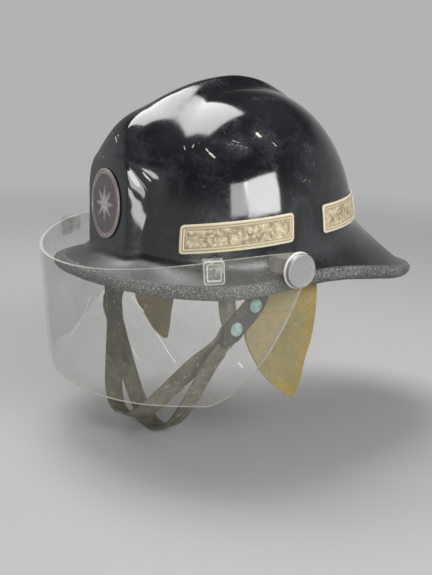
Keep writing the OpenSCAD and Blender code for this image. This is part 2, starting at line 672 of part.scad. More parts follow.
// Crown tape: up from the ring, over the crown and down to the ring on the other side
tape_out = ring_out + 2.2;
module crown_tape(t, layer) {
    a = band_point(t, 0, tape_out);
    r = norm([a.x, a.y - band_y]);
    turn = atan2(a.y - band_y, a.x);
    top = crown_z + layer * tape_step;
    half = concat([[r, tape_z], [r, tape_z + 14]],
        [for (k = [1:9]) let (f = 10 * k)
            [r * cos(f) * (1 - 0.14 * sin(2 * f)), mix(tape_z + 14, top, sin(f))]]);
    path = concat([for (k = [0:9]) half[k]], [[0, top]], [for (k = [9:-1:0]) [-half[k].x, half[k].y]]);
    color([0.75, 0.73, 0.66]) difference() {
        translate([0, band_y, 0]) rotate([0, 0, turn])
            sheet([for (s = [1, 0, -1]) [for (p = path) [p.x, s * tape_w / 2, p.y]]], tape_t);
        for (e = [t, t + 180])
            at_band(e, rivet_z, 0) along_x(0, 0, 0, rivet_r + run_gap, tape_out + 8);
    }
}

module rivet(len) {
    along_x(0, 0, 0, rivet_r, len);
    along_x(-1, 0, 0, 2 * rivet_r, 1 + tiny);
}
module harness_rivets() {
    color([0.6, 0.55, 0.4]) {
        for (t = tape_ends) at_band(t, rivet_z, ring_off - curve_gap) {
            rivet(ring_t + tape_t + 4.6);
            along_x(ring_t + tape_t + 4, 0, 0, 2 * rivet_r, 1);
        }
        for (t = anchor_angles) at_band(t, rivet_z, ring_off - curve_gap) rivet(ring_t + 6);
    }
}

// Anchors: blocks bonded to the wall, reaching in to the harness ring
anchor_half_a = 4.5;
module harness_anchors() {
    color([0.2, 0.2, 0.2]) for (t = anchor_angles) difference() {
        c = band_point(t, 0, ring_out + seat_gap);
        wall_a = atan2(c.x, -c.y);
        span = [for (k = [-2:2]) wall_a + anchor_half_a * k / 2];
        slab([for (z = [ring_z, ring_z + ring_h - 4]) [for (a = span) band_toward(a, z)]],
            [for (z = [ring_z, ring_z + ring_h - 4]) [for (a = span) seat(a, z, -wall - curve_gap - seat_gap)]]);
        at_band(t, rivet_z, 0) along_x(0, 0, 0, rivet_r + run_gap, ring_out + 8);
    }
}

// Point just outside the harness ring in the direction a from the head's centre
function band_toward(a, z) =
    let (w = head_half_w + ring_out + curve_gap, l = head_half_l + ring_out + curve_gap)
    let (p = sin(a) * sin(a) / w / w + cos(a) * cos(a) / l / l, q = band_y * cos(a) / l / l)
    let (c = band_y * band_y / l / l - 1)
    let (r = (-q + sqrt(q * q - p * c)) / p)
    [r * sin(a), -r * cos(a), z];

// Nape strap below the back of the headband, with its buckle
nape_half = 52;
nape_h = 15;
nape_t = 1.8;
nape_z = band_z - 9;
nape_off = band_t + seat_gap + nape_t / 2;
function nape_point(t, z) = band_point(t, z, nape_off + 0.15);
module nape_strap() {
    color([0.35, 0.22, 0.12]) sheet([for (z = [nape_z + nape_h, nape_z + nape_h / 2, nape_z])
        [for (k = [-10:10]) nape_point(180 + nape_half * k / 10, z)]], nape_t);
}
module nape_buckle() {
    h = nape_h + 5;
    w = 16;
    t = 1.6;
    y = nape_point(180, 0).y + nape_t / 2 + seat_gap;
    color([0.6, 0.55, 0.4]) translate([0, y, nape_z + nape_h / 2]) difference() {
        translate([-w / 2, 0, -h / 2]) cube([w, t, h]);
        translate([-w / 2 + 2, -1, -nape_h / 2]) cube([w - 4, t + 2, nape_h]);
    }
}

// Ear flaps: a bonded hanger, a riveted leather hinge and the flap below it
hanger_y = [-11, 15];
hanger_low = hinge_z + 2;
hanger_high = hinge_z + 12;
flap_rivet_y = [-4, 8];
flap_rivet_z = hinge_z + 7;
flap_rows = 30;
flap_cols = 10;
module flap_hanger() {
    out = -wall - curve_gap;
    from_a = 90 + atan(hanger_y[0] / (dome_half_w - wall));
    to_a = 90 + atan(hanger_y[1] / (dome_half_w - wall));
    mid_a = (from_a + to_a) / 2;
    half_a = (to_a - from_a) / 2;
    x = hinge_x + hinge_t / 2 + seat_gap;
    color([0.2, 0.2, 0.2]) difference() {
        slab(wall_block(x, out, mid_a, half_a, hanger_low, hanger_high),
            wall_patch(out, mid_a, half_a, hanger_low, hanger_high));
        for (y = flap_rivet_y) along_x(x - 1, y, flap_rivet_z, rivet_r + run_gap, 4);
    }
}
module flap_hinge() {
    color([0.55, 0.42, 0.2]) difference() {
        translate([hinge_x - hinge_t / 2, hanger_y[0], hinge_z + flap_t / 2 - 0.3])
            cube([hinge_t, hanger_y[1] - hanger_y[0], hanger_high - hinge_z - flap_t / 2]);
        for (y = flap_rivet_y)
            along_x(hinge_x - hinge_t, y, flap_rivet_z, rivet_r + run_gap, 2 * hinge_t);
    }
}
function flap_x(y, drop) =
    let (w = clamp((y - flap_front_y) / (flap_rear_y - flap_front_y)))
    hinge_x + (16 * w * w + 3 * w - 10) * ease(drop / 50);
module ear_flap() {
    rows = [for (k = [0:flap_rows]) curve(flap_edges, k / flap_rows)];
    color([0.72, 0.6, 0.32]) sheet([for (r = rows) [for (j = [0:flap_cols])
        let (y = mix(r.y, r.z, j / flap_cols)) [flap_x(y, r.x), y, hinge_z - r.x]]], flap_t);
}
module flap_rivets() {
    color([0.6, 0.55, 0.4]) on_both_sides() for (y = flap_rivet_y)
        translate([hinge_x - hinge_t / 2 - seat_gap / 2, y, flap_rivet_z]) rivet(hinge_t + 2.5);
}

// Straps whose flat side faces sideways: path points are [x, y, z]
function side_strap(path, w, tip) =
    let (n = 4 * (len(path) - 1))
    let (p = [for (k = [0:n]) curve(path, k / n)])
    [for (s = [-1, 0, 1]) [for (k = [0:n])
        let (d = p[min(n, k + 1)] - p[max(0, k - 1)], side = unit(cross(d, [1, 0, 0])))
        p[k] + side * s * w / 2 * (k == n ? tip : 1)]];

branch_out = -wall - curve_gap;
branch_seat_x = branch_top_x + strap_t / 2 + seat_gap;
branch_low = pivot_z - 1;
branch_high = pivot_z + 8;
branch_rivet_z = pivot_z + 3.5;
branch_rivet_y = [branch_y - 4, branch_y + 4];
module branch_anchor() {
    color([0.2, 0.2, 0.2]) difference() {
        slab(wall_block(branch_seat_x, branch_out, branch_a, 4.4, branch_low, branch_high),
            wall_patch(branch_out, branch_a, 4.4, branch_low, branch_high));
        for (y = branch_rivet_y) along_x(branch_seat_x - 1, y, branch_rivet_z, rivet_r + run_gap, 3);
    }
}
module branch_rivets() {
    color([0.6, 0.55, 0.4]) on_both_sides() for (y = branch_rivet_y)
        translate([branch_top_x - strap_t / 2 - curve_gap, y, branch_rivet_z]) rivet(strap_t + 2);
}

// Stud tab: clamped by the pivot screw, then down and forward to both press studs
module stud_tab() {
    color([0.25, 0.22, 0.18]) difference() {
        sheet(side_strap([[tab_x, pivot_y, pivot_z + 9], [tab_x, pivot_y, pivot_z],
            [tab_x, pivot_y - 1, pivot_z - 9], [stud_tab_x + 0.6, pivot_y - 6, pivot_z - 20],
            [stud_tab_x, stud_up_y, stud_up_z], [stud_tab_x, stud_y, stud_z],
            [stud_tab_x, stud_y - 11, stud_z - 14]], tab_w, 0.25), strap_t);
        along_x(tab_x - 5, pivot_y, pivot_z, screw_r + run_gap, 10);
        along_x(stud_tab_x - 5, stud_up_y, stud_up_z, stud_r + run_gap, 10);
        along_x(stud_tab_x - 5, stud_y, stud_z, stud_r + run_gap, 10);
    }
}
module strap_branch() {
    color([0.42, 0.4, 0.34]) difference() {
        sheet(side_strap([[branch_top_x, branch_y, branch_high + 1], [branch_top_x, branch_y, branch_low - 2],
            [mix(branch_top_x, branch_x, 0.5), branch_y - 3, (branch_low + stud_z) / 2],
            [branch_x, stud_y - 5, stud_z + 12], [branch_x, stud_y, stud_z], [branch_x, stud_y + 4, stud_z - 8]],
            branch_w, 0.7), strap_t);
        along_x(branch_x - 5, stud_y, stud_z, stud_r + run_gap, 10);
        for (y = branch_rivet_y) along_x(branch_top_x - 5, y, branch_rivet_z, rivet_r + run_gap, 10);
    }
}
module press_stud(y, z, out_x, in_x) {
    along_x(in_x, y, z, stud_r, out_x - in_x + tiny);
    translate([out_x, y, z]) rotate([0, 90, 0]) rotate_extrude($fn = fine)
        polygon([[0, 0], [stud_d / 2, 0], [stud_d / 2, stud_cap_t / 2],
            [stud_d / 2 - 1, stud_cap_t * 0.85], [stud_d / 4, stud_cap_t], [0, stud_cap_t]]);
    along_x(in_x - 1.2, y, z, stud_d / 2 - 1, 1.2 + tiny);
}
module press_studs() {
    out_x = stud_tab_x + strap_t / 2 + seat_gap;
    color([0.6, 0.72, 0.68]) {
        press_stud(stud_up_y, stud_up_z, out_x, stud_tab_x - strap_t / 2 - seat_gap);
        press_stud(stud_y, stud_z, out_x, chin_x - strap_t / 2 - seat_gap);
    }
}

// Chin loops: paths in a slanted plane that holds the stud's axis, as shares of the half width and the drop
chin_shares = [[0.98, 0.132], [0.9, 0.217], [0.75, 0.358], [0.62, 0.519], [0.49, 0.679], [0.35, 0.84],
    [0.18, 0.962], [0, 1]];
under_shares = [[0.925, 0.101], [0.81, 0.242], [0.69, 0.424], [0.56, 0.606], [0.42, 0.778], [0.27, 0.909],
    [0.13, 0.98], [0, 1]];
function chin_loop(half, start, dir, x, w) =
    let (n = 4 * (len(half) - 1), side = unit(cross(dir, [1, 0, 0])))
    let (p = [for (k = [0:n]) curve(half, k / n)])
    let (all = concat(p, [for (k = [n - 1:-1:0]) [-p[k].x, p[k].y]]))
    [for (s = [1, 0, -1]) [for (k = [0:2 * n])
        let (q = all[k], end = min(k, 2 * n - k) == 0 ? 0.6 : 1)
        [q.x * x, start.x, start.y] + dir * q.y + side * s * w / 2 * end]];
module chin_strap() {
    color([0.45, 0.43, 0.36]) difference() {
        sheet(chin_loop([[1, -7], [1, 5], for (q = chin_shares) [q.x, q.y * chin_drop]], [stud_y, stud_z],
            chin_dir, chin_x, strap_w), strap_t);
        along_x(-2 * chin_x, stud_y, stud_z, stud_r + run_gap, 4 * chin_x);
    }
}
module under_chin_strap() {
    color([0.42, 0.4, 0.33]) sheet(chin_loop([[1, -2], for (q = under_shares) [q.x, q.y * under_drop]],
        [stud_y - 10, stud_z - 14], under_dir, under_x, strap_w - 2), strap_t);
}

shell();
edge_trim();
visor();
visor_clip();  // visor_clip_left
mirror([1, 0, 0]) visor_clip();  // visor_clip_right
visor_spacer();  // visor_spacer_left
mirror([1, 0, 0]) visor_spacer();  // visor_spacer_right
pivot_screw();  // pivot_screw_left
mirror([1, 0, 0]) pivot_screw();  // pivot_screw_right
pivot_pad();  // pivot_pad_left
mirror([1, 0, 0]) pivot_pad();  // pivot_pad_right
knob_washer();  // knob_washer_left
mirror([1, 0, 0]) knob_washer();  // knob_washer_right
knob();  // knob_left
mirror([1, 0, 0]) knob();  // knob_right
badge();
badge_retainers();
marker(side_marker);  // marker_side_left
mirror([1, 0, 0]) marker(side_marker);  // marker_side_right
marker(rear_marker);  // marker_rear_left
mirror([1, 0, 0]) marker(rear_marker);  // marker_rear_right
impact_liner();
headband();
harness_ring();
crown_tape(tape_angles[0], 0);  // crown_tape_fore_aft
crown_tape(tape_angles[1], 1);  // crown_tape_lateral
crown_tape(tape_angles[2], 2);  // crown_tape_left_front
crown_tape(tape_angles[3], 3);  // crown_tape_right_front
harness_rivets();
harness_anchors();
nape_strap();
nape_buckle();
flap_hanger();  // flap_hanger_left
mirror([1, 0, 0]) flap_hanger();  // flap_hanger_right
flap_hinge();  // flap_hinge_left
mirror([1, 0, 0]) flap_hinge();  // flap_hinge_right
ear_flap();  // ear_flap_left
mirror([1, 0, 0]) ear_flap();  // ear_flap_right
flap_rivets();
branch_anchor();  // branch_anchor_left
mirror([1, 0, 0]) branch_anchor();  // branch_anchor_right
stud_tab();  // stud_tab_left
mirror([1, 0, 0]) stud_tab();  // stud_tab_right
strap_branch();  // strap_branch_left
mirror([1, 0, 0]) strap_branch();  // strap_branch_right
press_studs();  // press_studs_left
mirror([1, 0, 0]) press_studs();  // press_studs_right
branch_rivets();
chin_strap();
under_chin_strap();
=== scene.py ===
import bpy, math
import numpy as np
from mathutils import Matrix, Vector


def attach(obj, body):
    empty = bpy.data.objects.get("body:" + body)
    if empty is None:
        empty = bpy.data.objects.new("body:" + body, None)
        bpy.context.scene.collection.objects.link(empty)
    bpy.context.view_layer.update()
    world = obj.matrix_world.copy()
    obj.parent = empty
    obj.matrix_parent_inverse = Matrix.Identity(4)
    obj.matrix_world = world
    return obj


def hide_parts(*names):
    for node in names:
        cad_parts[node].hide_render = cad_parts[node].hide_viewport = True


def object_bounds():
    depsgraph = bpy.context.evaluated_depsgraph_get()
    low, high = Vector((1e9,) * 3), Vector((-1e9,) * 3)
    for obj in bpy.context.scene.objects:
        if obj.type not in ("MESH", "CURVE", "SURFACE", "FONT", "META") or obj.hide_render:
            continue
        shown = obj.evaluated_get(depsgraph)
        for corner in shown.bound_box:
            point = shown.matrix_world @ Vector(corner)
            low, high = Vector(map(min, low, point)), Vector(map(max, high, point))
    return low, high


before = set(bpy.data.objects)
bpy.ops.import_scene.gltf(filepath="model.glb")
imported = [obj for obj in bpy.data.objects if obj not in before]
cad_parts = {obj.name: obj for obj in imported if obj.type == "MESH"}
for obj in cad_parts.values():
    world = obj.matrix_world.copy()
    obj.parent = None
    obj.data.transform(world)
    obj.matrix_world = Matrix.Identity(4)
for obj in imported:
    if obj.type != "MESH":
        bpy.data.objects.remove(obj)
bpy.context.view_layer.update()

scene = bpy.context.scene
mm = 0.001
print("frame:", len(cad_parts), "CAD nodes")

# Lengths below are in millimetres and angles in degrees until a mesh is made.
# Front is -Y, the wearer's left is +X, up is +Z.

dome = dict(halfWidth=112, front=112, rear=121, top=158, base=20, poleBack=20, planPower=2.15, risePower=2.15, wall=3)
brim = dict(front=146, halfWidth=124, rear=202, frontZ=8, cheekZ=3, earZ=12, tailZ=-9, flare=20, tailFlare=60,
            bend=2, tailBend=1.2, cheekAngle=55, earAngle=100, tailRun=70)
panel = dict(rise=6, nose=24, halfWidth=30, flank=27, flat=0.8, combRise=10, combHalf=13, fanY=10, fanZ=35)
pivot = dict(y=-22.5, z=20)


# Small sums
def mix(a, b, u):
    return a + (b - a) * u


def ease(u):
    return (1 - np.cos(np.pi * np.clip(u, 0, 1))) / 2


def unit(v):
    return v / np.maximum(np.linalg.norm(v, axis=-1, keepdims=True), 1e-12)


def along(points, u):  # smooth curve through control values or points
    p = np.asarray(points, float)
    last = len(p) - 1
    s = np.clip(u, 0, 1) * last
    q = np.minimum(last - 1, np.floor(s).astype(int))
    f = s - q
    if p.ndim > 1:
        f = f[..., None]
    a, b, c, d = p[np.maximum(q - 1, 0)], p[q], p[q + 1], p[np.minimum(q + 2, last)]
    return 0.5 * (2 * b + (c - a) * f + (2 * a - 5 * b + 4 * c - d) * f ** 2 + (3 * b - a - 3 * c + d) * f ** 3)


def wobble(p, size, seed):  # soft unevenness of a surface, -1 to 1
    p = np.asarray(p, float) / size
    x, y, z = p[..., 0], p[..., 1], p[..., 2]
    return (np.sin(x + 1.7 * seed + 0.8 * np.sin(y * 1.3)) + np.sin(1.3 * y + 2.1 * seed + 0.9 * np.sin(z * 1.1))
            + np.sin(0.9 * z + 0.6 * seed + np.sin(x * 1.2))) / 3


# The dome, its brim and its ridge
def planRadius(t, width, front, rear, power):
    a = np.radians(t)
    reach = np.where(np.cos(a) > 0, front, rear)
    return ((np.abs(np.sin(a)) / width) ** power + (np.abs(np.cos(a)) / reach) ** power) ** (-1 / power)


def fromFront(t):
    m = np.mod(t, 360)
    return np.minimum(m, 360 - m)


def rimZ(t):
    a = fromFront(t)
    cheek, ear = brim["cheekAngle"], brim["earAngle"]
    near = mix(brim["frontZ"], brim["cheekZ"], ease(a / cheek))
    side = mix(brim["cheekZ"], brim["earZ"], ease((a - cheek) / (ear - cheek)))
    tail = mix(brim["earZ"], brim["tailZ"], ease((a - ear) / (180 - ear)))
    return np.where(a < cheek, near, np.where(a < ear, side, tail))


def tailShare(t):
    return ease((fromFront(t) - brim["earAngle"]) / brim["tailRun"])


def brimHeight(t):
    return mix(brim["flare"], brim["tailFlare"], tailShare(t))


def brimBend(t):
    return mix(brim["bend"], brim["tailBend"], tailShare(t))


def domeRadius(t, out=0):
    return planRadius(t, dome["halfWidth"] + out, dome["front"] + out, dome["rear"] + out, dome["planPower"])


def flare(t):
    return planRadius(t, brim["halfWidth"], brim["front"], brim["rear"], dome["planPower"]) - domeRadius(t)


def domeShare(z, out=0):
    u = np.clip((z - dome["base"]) / (dome["top"] + out - dome["base"]), 0, 1)
    return (1 - u ** dome["risePower"]) ** (1 / dome["risePower"])


def skin(t, z, out=0):
    s = domeShare(z, out)
    u = np.clip((z - rimZ(t)) / brimHeight(t), 0, 1)
    r = s * domeRadius(t, out) + flare(t) * (1 - u) ** brimBend(t)
    a = np.radians(t)
    return np.stack([r * np.sin(a), dome["poleBack"] * (1 - s) - r * np.cos(a), z + 0 * r], -1)


# The ridge's rise, half width and feet, each 10 degrees from -10 in front over the crown to 170 at the back
ridgeRise = [panel["rise"] * u for u in (1, 1, 1.45)] + [panel["nose"] * u for u in (0.6, 0.92, 1)] + [
    panel["combRise"] * u for u in (1.6, 1.22, 1.06, 1, 1, 0.82, 0.6, 0.52, 0.45, 0.3, 0.1, 0, 0)]
ridgeHalf = [panel["halfWidth"] * u for u in (0.95, 1, 1.03, 1.07, 0.88, 0.3)] + [
    panel["combHalf"] * u for u in (0.15,) * 10 + (0.5, 1, 1.4)]
ridgeFoot = [panel["halfWidth"] + panel["flank"] * u for u in (0.6, 0.6, 0.6, 0.41, 0.05, -0.2)] + [
    panel["combHalf"] * u for u in (3.2, 2.9, 2.6, 2.3, 2.1, 2, 2, 2, 2.1, 2.2, 2.4, 2.6, 3.4)]
roofFoot = [panel["combHalf"] * u for u in (4.5, 4.5, 4.5, 4.5, 4.5, 4.2, 3.5, 2.6, 1.9, 1.6, 1.5, 1.5, 1.6, 1.8,
                                            2, 2.2, 2.4, 2.6, 3.4)]
# Where its parts set in or fade out: a start and a length, in degrees round the fan, or in height for the foot
ridgeSpan = dict(around=(40, 25), flat=(20, 20), face=(30, 12), roof=(10, 22), lean=(30, 20), foot=(12, 16))


def fanTurn(y, z):  # 0 in front, 90 above, 180 and on at the back
    return np.mod(np.degrees(np.arctan2(z - panel["fanZ"], panel["fanY"] - y)) + 90, 360) - 90


def fanAngle(z, back):
    s = domeShare(z)
    return fanTurn(dome["poleBack"] * (1 - s) + s * np.where(back, dome["rear"], -dome["front"]), z)


def fan(values, a):
    return along(values, np.clip((a + 10) / 10 / (len(values) - 1), 0, 1))


def rising(value, span):
    return ease((value - span[0]) / span[1])


def ridgeLift(p):  # the panel's flat face and the comb's broad sides, joined by a soft maximum
    x, y, z = p[..., 0], p[..., 1], p[..., 2]
    around = fanTurn(y, z)
    behind = y > dome["poleBack"] * (1 - domeShare(z))
    a = mix(fanAngle(z, behind), around, rising(around, ridgeSpan["around"]))
    side = np.abs(x)
    share = np.minimum(side / dome["halfWidth"], 0.9)
    drop = dome["front"] * (1 - (1 - share ** dome["planPower"]) ** (1 / dome["planPower"]))
    crest, half, foot, wide = (fan(values, a) for values in (ridgeRise, ridgeHalf, ridgeFoot, roofFoot))
    flattened = crest + panel["flat"] * drop * (1 - rising(a, ridgeSpan["flat"]))
    face = flattened * ease((foot - side) / (foot - half)) * (1 - rising(a, ridgeSpan["face"]))
    roof = crest * rising(a, ridgeSpan["roof"]) * ease((wide - side) / (wide - half))
    joined = np.maximum((face + roof) / 2 + np.sqrt((face - roof) ** 2 / 4 + 1) - 1, 0)
    return joined * rising(z, ridgeSpan["foot"]), a


def dressed(p):
    lift, a = ridgeLift(p)
    turn = np.radians(a * rising(a, ridgeSpan["lean"]))
    return p + np.stack([0 * lift, -lift * np.cos(turn), lift * np.sin(turn)], -1)


def gridNormal(g, wrap=False):
    a = np.gradient(g, axis=0)
    if wrap:
        b = np.roll(g, -1, 1) - np.roll(g, 1, 1)
    else:
        b = np.gradient(g, axis=1)
    return unit(np.cross(a, b))


# Meshes and pieces
def gridFaces(rows, cols, wrap):
    i, j = np.meshgrid(np.arange(rows - 1), np.arange(cols if wrap else cols - 1), indexing="ij")
    a, b = i * cols + j, i * cols + (j + 1) % cols
    return np.stack([a, b, b + cols, a + cols], -1).reshape(-1, 4).tolist()


def meshOf(points, faces, name="mesh"):
    mesh = bpy.data.meshes.new(name)
    mesh.from_pydata((np.asarray(points, float).reshape(-1, 3) * mm).tolist(), [], faces)
    return mesh


def addUv(mesh, name, uv):  # one pair of numbers for each of the mesh's points
    loops = np.zeros(len(mesh.loops), int)
    mesh.loops.foreach_get("vertex_index", loops)
    mesh.uv_layers.new(name=name).data.foreach_set("uv", uv[loops].ravel())


def sheetMesh(grid):  # open sheet with a UV map in metres: U along its columns, V along its rows
    mesh = meshOf(grid, gridFaces(*grid.shape[:2], False))
    u = np.r_[0, np.cumsum(np.linalg.norm(np.diff(grid, axis=1), axis=-1).mean(0))] * mm
    v = np.r_[0, np.cumsum(np.linalg.norm(np.diff(grid, axis=0), axis=-1).mean(1))] * mm
    addUv(mesh, "alongAndAcross", np.stack(np.meshgrid(u, v, indexing="xy"), -1).reshape(-1, 2))
    return mesh


def closedMesh(rings, capStart=None, capEnd=None, wrapRows=False):  # rings of equal count; a cap is a point or "face"
    rings = np.asarray(rings, float)
    rows, cols = rings.shape[:2]
    points = list(rings.reshape(-1, 3))
    faces = gridFaces(rows, cols, True)
    last = (rows - 1) * cols
    if wrapRows:
        faces += [[last + j, last + (j + 1) % cols, (j + 1) % cols, j] for j in range(cols)]
    for cap, base, turn in ((capStart, 0, 1), (capEnd, last, -1)):
        if cap is None:
            continue
        if isinstance(cap, str):
            faces.append([base + j for j in range(cols)][::-turn])
        else:
            points.append(np.asarray(cap, float))
            tip = len(points) - 1
            faces += [[base + (j + 1) % cols, base + j, tip][::turn] for j in range(cols)]
    return meshOf(points, faces)


def lathe(profile, centre, side, segments):  # profile of (radius, x) turned about the X axis
    a = np.radians(np.arange(segments) * 360 / segments)
    rings = [np.stack([side * (x + 0 * a), centre[0] + r * np.cos(a), centre[1] + r * np.sin(a)], -1)
             for r, x in profile if r > 0]
    ends = [np.array([side * x, *centre]) if r == 0 else None for r, x in (profile[0], profile[-1])]
    return closedMesh(rings, ends[0], ends[1], wrapRows=ends[0] is None and ends[1] is None)


def pointOut(mesh):  # turns a closed mesh's faces outwards
    mesh.calc_loop_triangles()
    co = np.zeros(len(mesh.vertices) * 3)
    mesh.vertices.foreach_get("co", co)
    tri = np.zeros(len(mesh.loop_triangles) * 3, int)
    mesh.loop_triangles.foreach_get("vertices", tri)
    p = co.reshape(-1, 3)[tri.reshape(-1, 3)]
    if np.einsum("ij,ij->i", p[:, 0], np.cross(p[:, 1], p[:, 2])).sum() < 0:
        mesh.flip_normals()


def applyModifiers(piece):
    graph = bpy.context.evaluated_depsgraph_get()
    done = bpy.data.meshes.new_from_object(piece.evaluated_get(graph))
    piece.modifiers.clear()
    piece.data = done


bevel = dict(segments=3, angle=50)


def addPiece(name, mesh, paints, body, slot, stands=(), sharp=40, thick=0, rounding=0, rimPaint=False):
    piece = bpy.data.objects.new(name, mesh)
    mesh.name = name
    scene.collection.objects.link(piece)
    for paint in paints if isinstance(paints, (list, tuple)) else [paints]:
        mesh.materials.append(paint)
    if thick:
        wall = piece.modifiers.new("thickness", "SOLIDIFY")
        wall.thickness, wall.offset = thick * mm, 0
        if rimPaint:  # the second finish on the rim, the third on the inner face
            wall.material_offset_rim, wall.material_offset = 1, 2
    if rounding:
        edge = piece.modifiers.new("edges", "BEVEL")
        edge.width, edge.segments, edge.limit_method = rounding * mm, bevel["segments"], "ANGLE"
        edge.angle_limit = math.radians(bevel["angle"])
        edge.use_clamp_overlap = True
    if piece.modifiers:
        applyModifiers(piece)
    pointOut(piece.data)
    piece.data.shade_smooth()
    piece.data.set_sharp_from_angle(angle=math.radians(sharp))
    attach(piece, body)
    if stands:
        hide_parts(*stands)


# Node trees, with sockets that can be calculated with
class Wire:
    def __init__(self, tree, socket):
        self.tree, self.socket = tree, socket

    def sum(self, operation, *values):
        return self.tree.node("ShaderNodeMath", {"operation": operation}, dict(enumerate(values)))

    def __add__(self, other): return self.sum("ADD", self, other)
    def __radd__(self, other): return self.sum("ADD", other, self)
    def __sub__(self, other): return self.sum("SUBTRACT", self, other)
    def __rsub__(self, other): return self.sum("SUBTRACT", other, self)
    def __mul__(self, other): return self.sum("MULTIPLY", self, other)
    def __rmul__(self, other): return self.sum("MULTIPLY", other, self)
    def __truediv__(self, other): return self.sum("DIVIDE", self, other)
    def __or__(self, other): return self.sum("MAXIMUM", self, other)
    def __and__(self, other): return self.sum("MINIMUM", self, other)
    def __abs__(self): return self.sum("ABSOLUTE", self)

    def other(self, name):
        return Wire(self.tree, self.socket.node.outputs[name])


class Tree:
    def __init__(self, nodeTree):
        self.nodeTree = nodeTree
        nodeTree.nodes.clear()

    def node(self, kind, settings=None, values=None, out=0):
        made = self.nodeTree.nodes.new(kind)
        for key, value in (settings or {}).items():
            if key == "stops":
                ramp = made.color_ramp
                while len(ramp.elements) < len(value):
                    ramp.elements.new(0.5)
                for stop, (place, colour) in zip(ramp.elements, value):
                    stop.position, stop.color = place, (*colour, 1)
            else:
                setattr(made, key, value)
        for key, value in (values or {}).items():
            if isinstance(value, Wire):
                self.nodeTree.links.new(value.socket, made.inputs[key])
            else:
                made.inputs[key].default_value = value
        return Wire(self, made.outputs[out]) if len(made.outputs) else made


class Paint(Tree):
    def __init__(self, name):
        self.material = bpy.data.materials.new(name)
        self.material.use_nodes = True
        super().__init__(self.material.node_tree)
        self.place = self.node("ShaderNodeTexCoord", out="Object")

    def shifted(self, scale=(1, 1, 1), turn=(0, 0, 0), move=(0, 0, 0), vector=None):
        return self.node("ShaderNodeMapping", None, {"Vector": vector or self.place, "Location": move,
                         "Rotation": [math.radians(a) for a in turn], "Scale": scale})

    def noise(self, scale, detail, rough=0.55, distort=0, vector=None):
        return self.node("ShaderNodeTexNoise", None, {"Vector": vector or self.place, "Scale": scale,
                         "Detail": detail, "Roughness": rough, "Distortion": distort})

    def cells(self, scale, feature="F1", vector=None, wander=1):
        return self.node("ShaderNodeTexVoronoi", {"feature": feature},
                         {"Vector": vector or self.place, "Scale": scale, "Randomness": wander}, "Distance")

    def step(self, value, low, high):
        return self.node("ShaderNodeMapRange", {"interpolation_type": "SMOOTHSTEP"},
                         {0: value, 1: low, 2: high, 3: 0.0, 4: 1.0})

    def near(self, spot, reach, fade):  # 1 inside the reach of a spot, fading to 0
        far = self.node("ShaderNodeVectorMath", {"operation": "DISTANCE"},
                        {0: self.place, 1: [c * mm for c in spot]}, "Value")
        return 1 - self.step(far, reach * mm * (1 - fade), reach * mm)

    def between(self, value, rise, fall):  # 1 from the end of the rise to the start of the fall
        return self.step(value, *rise) * (1 - self.step(value, *fall))

    def stroke(self, start, end, width, ragged):  # 1 on a line between two spots, with ragged edges
        lead = np.subtract(end, start) * mm
        off = self.node("ShaderNodeVectorMath", {"operation": "SUBTRACT"},
                        {0: self.place, 1: [c * mm for c in start]})
        share = self.node("ShaderNodeVectorMath", {"operation": "DOT_PRODUCT"}, {0: off, 1: list(lead)}, "Value")
        foot = self.node("ShaderNodeVectorMath", {"operation": "SCALE"},
                         {0: list(lead), "Scale": (share / float(lead @ lead) | 0.0) & 1.0})
        far = self.node("ShaderNodeVectorMath", {"operation": "DISTANCE"}, {0: off, 1: foot}, "Value")
        return 1 - self.step(far + ragged * (width * mm), width * mm * 0.6, width * mm)

    def ownMap(self, name="alongAndAcross"):  # the piece's own UV map
        return self.node("ShaderNodeUVMap", {"uv_map": name})

    def split(self, vector=None):  # X, with other("Y") and other("Z") beside it
        return self.node("ShaderNodeSeparateXYZ", None, {0: vector or self.place})

    def blend(self, mask, a, b):
        colours = {key: value if isinstance(value, Wire) else (*value, 1) for key, value in ((6, a), (7, b))}
        return self.node("ShaderNodeMix", {"data_type": "RGBA"}, {0: mask, **colours}, 2)

    def bump(self, height, depth, strength):  # depth in millimetres
        return self.node("ShaderNodeBump", None, {"Height": height, "Distance": depth * mm, "Strength": strength})

    def finish(self, **sockets):
        names = {key.replace("_", " "): value for key, value in sockets.items()}
        colour = names.get("Base Color")
        if colour is not None and not isinstance(colour, Wire):
            names["Base Color"] = (*colour, 1)
        shader = self.node("ShaderNodeBsdfPrincipled", None, names)
        self.node("ShaderNodeOutputMaterial", None, {"Surface": shader})
        return self.material


# Finishes
def strongest(masks):
    most = None
    for mask in masks:
        most = mask if most is None else most | mask
    return most


def leather(name, colour, dark, light, worn):
    p = Paint(name)
    cloud = p.noise(38, 5, 0.6, 0.6)
    blotch = p.noise(110, 4, 0.65)
    pores = p.cells(900)
    creases = p.cells(240, "DISTANCE_TO_EDGE", p.shifted((1, 1, 0.55), (12, 8, 30)), 0.9)
    crack = 1 - p.step(creases, 0.0, 0.09)
    tone = p.blend(p.step(cloud, 0.35, 0.68), dark, colour)
    tone = p.blend(p.step(blotch, 0.52, 0.75) * worn, tone, light)
    tone = p.blend(crack * p.step(cloud, 0.45, 0.65) * 0.3, tone, [c * 0.6 for c in dark])
    height = p.step(pores, 0.0, 0.6) * 0.35 + p.step(creases, 0.0, 0.2) * 0.2 + blotch * 0.4
    return p.finish(Base_Color=tone, Roughness=0.62 + cloud * 0.2 - p.step(blotch, 0.5, 0.8) * 0.15,
                    Normal=p.bump(height, 0.25, 0.6), Specular_IOR_Level=0.35)


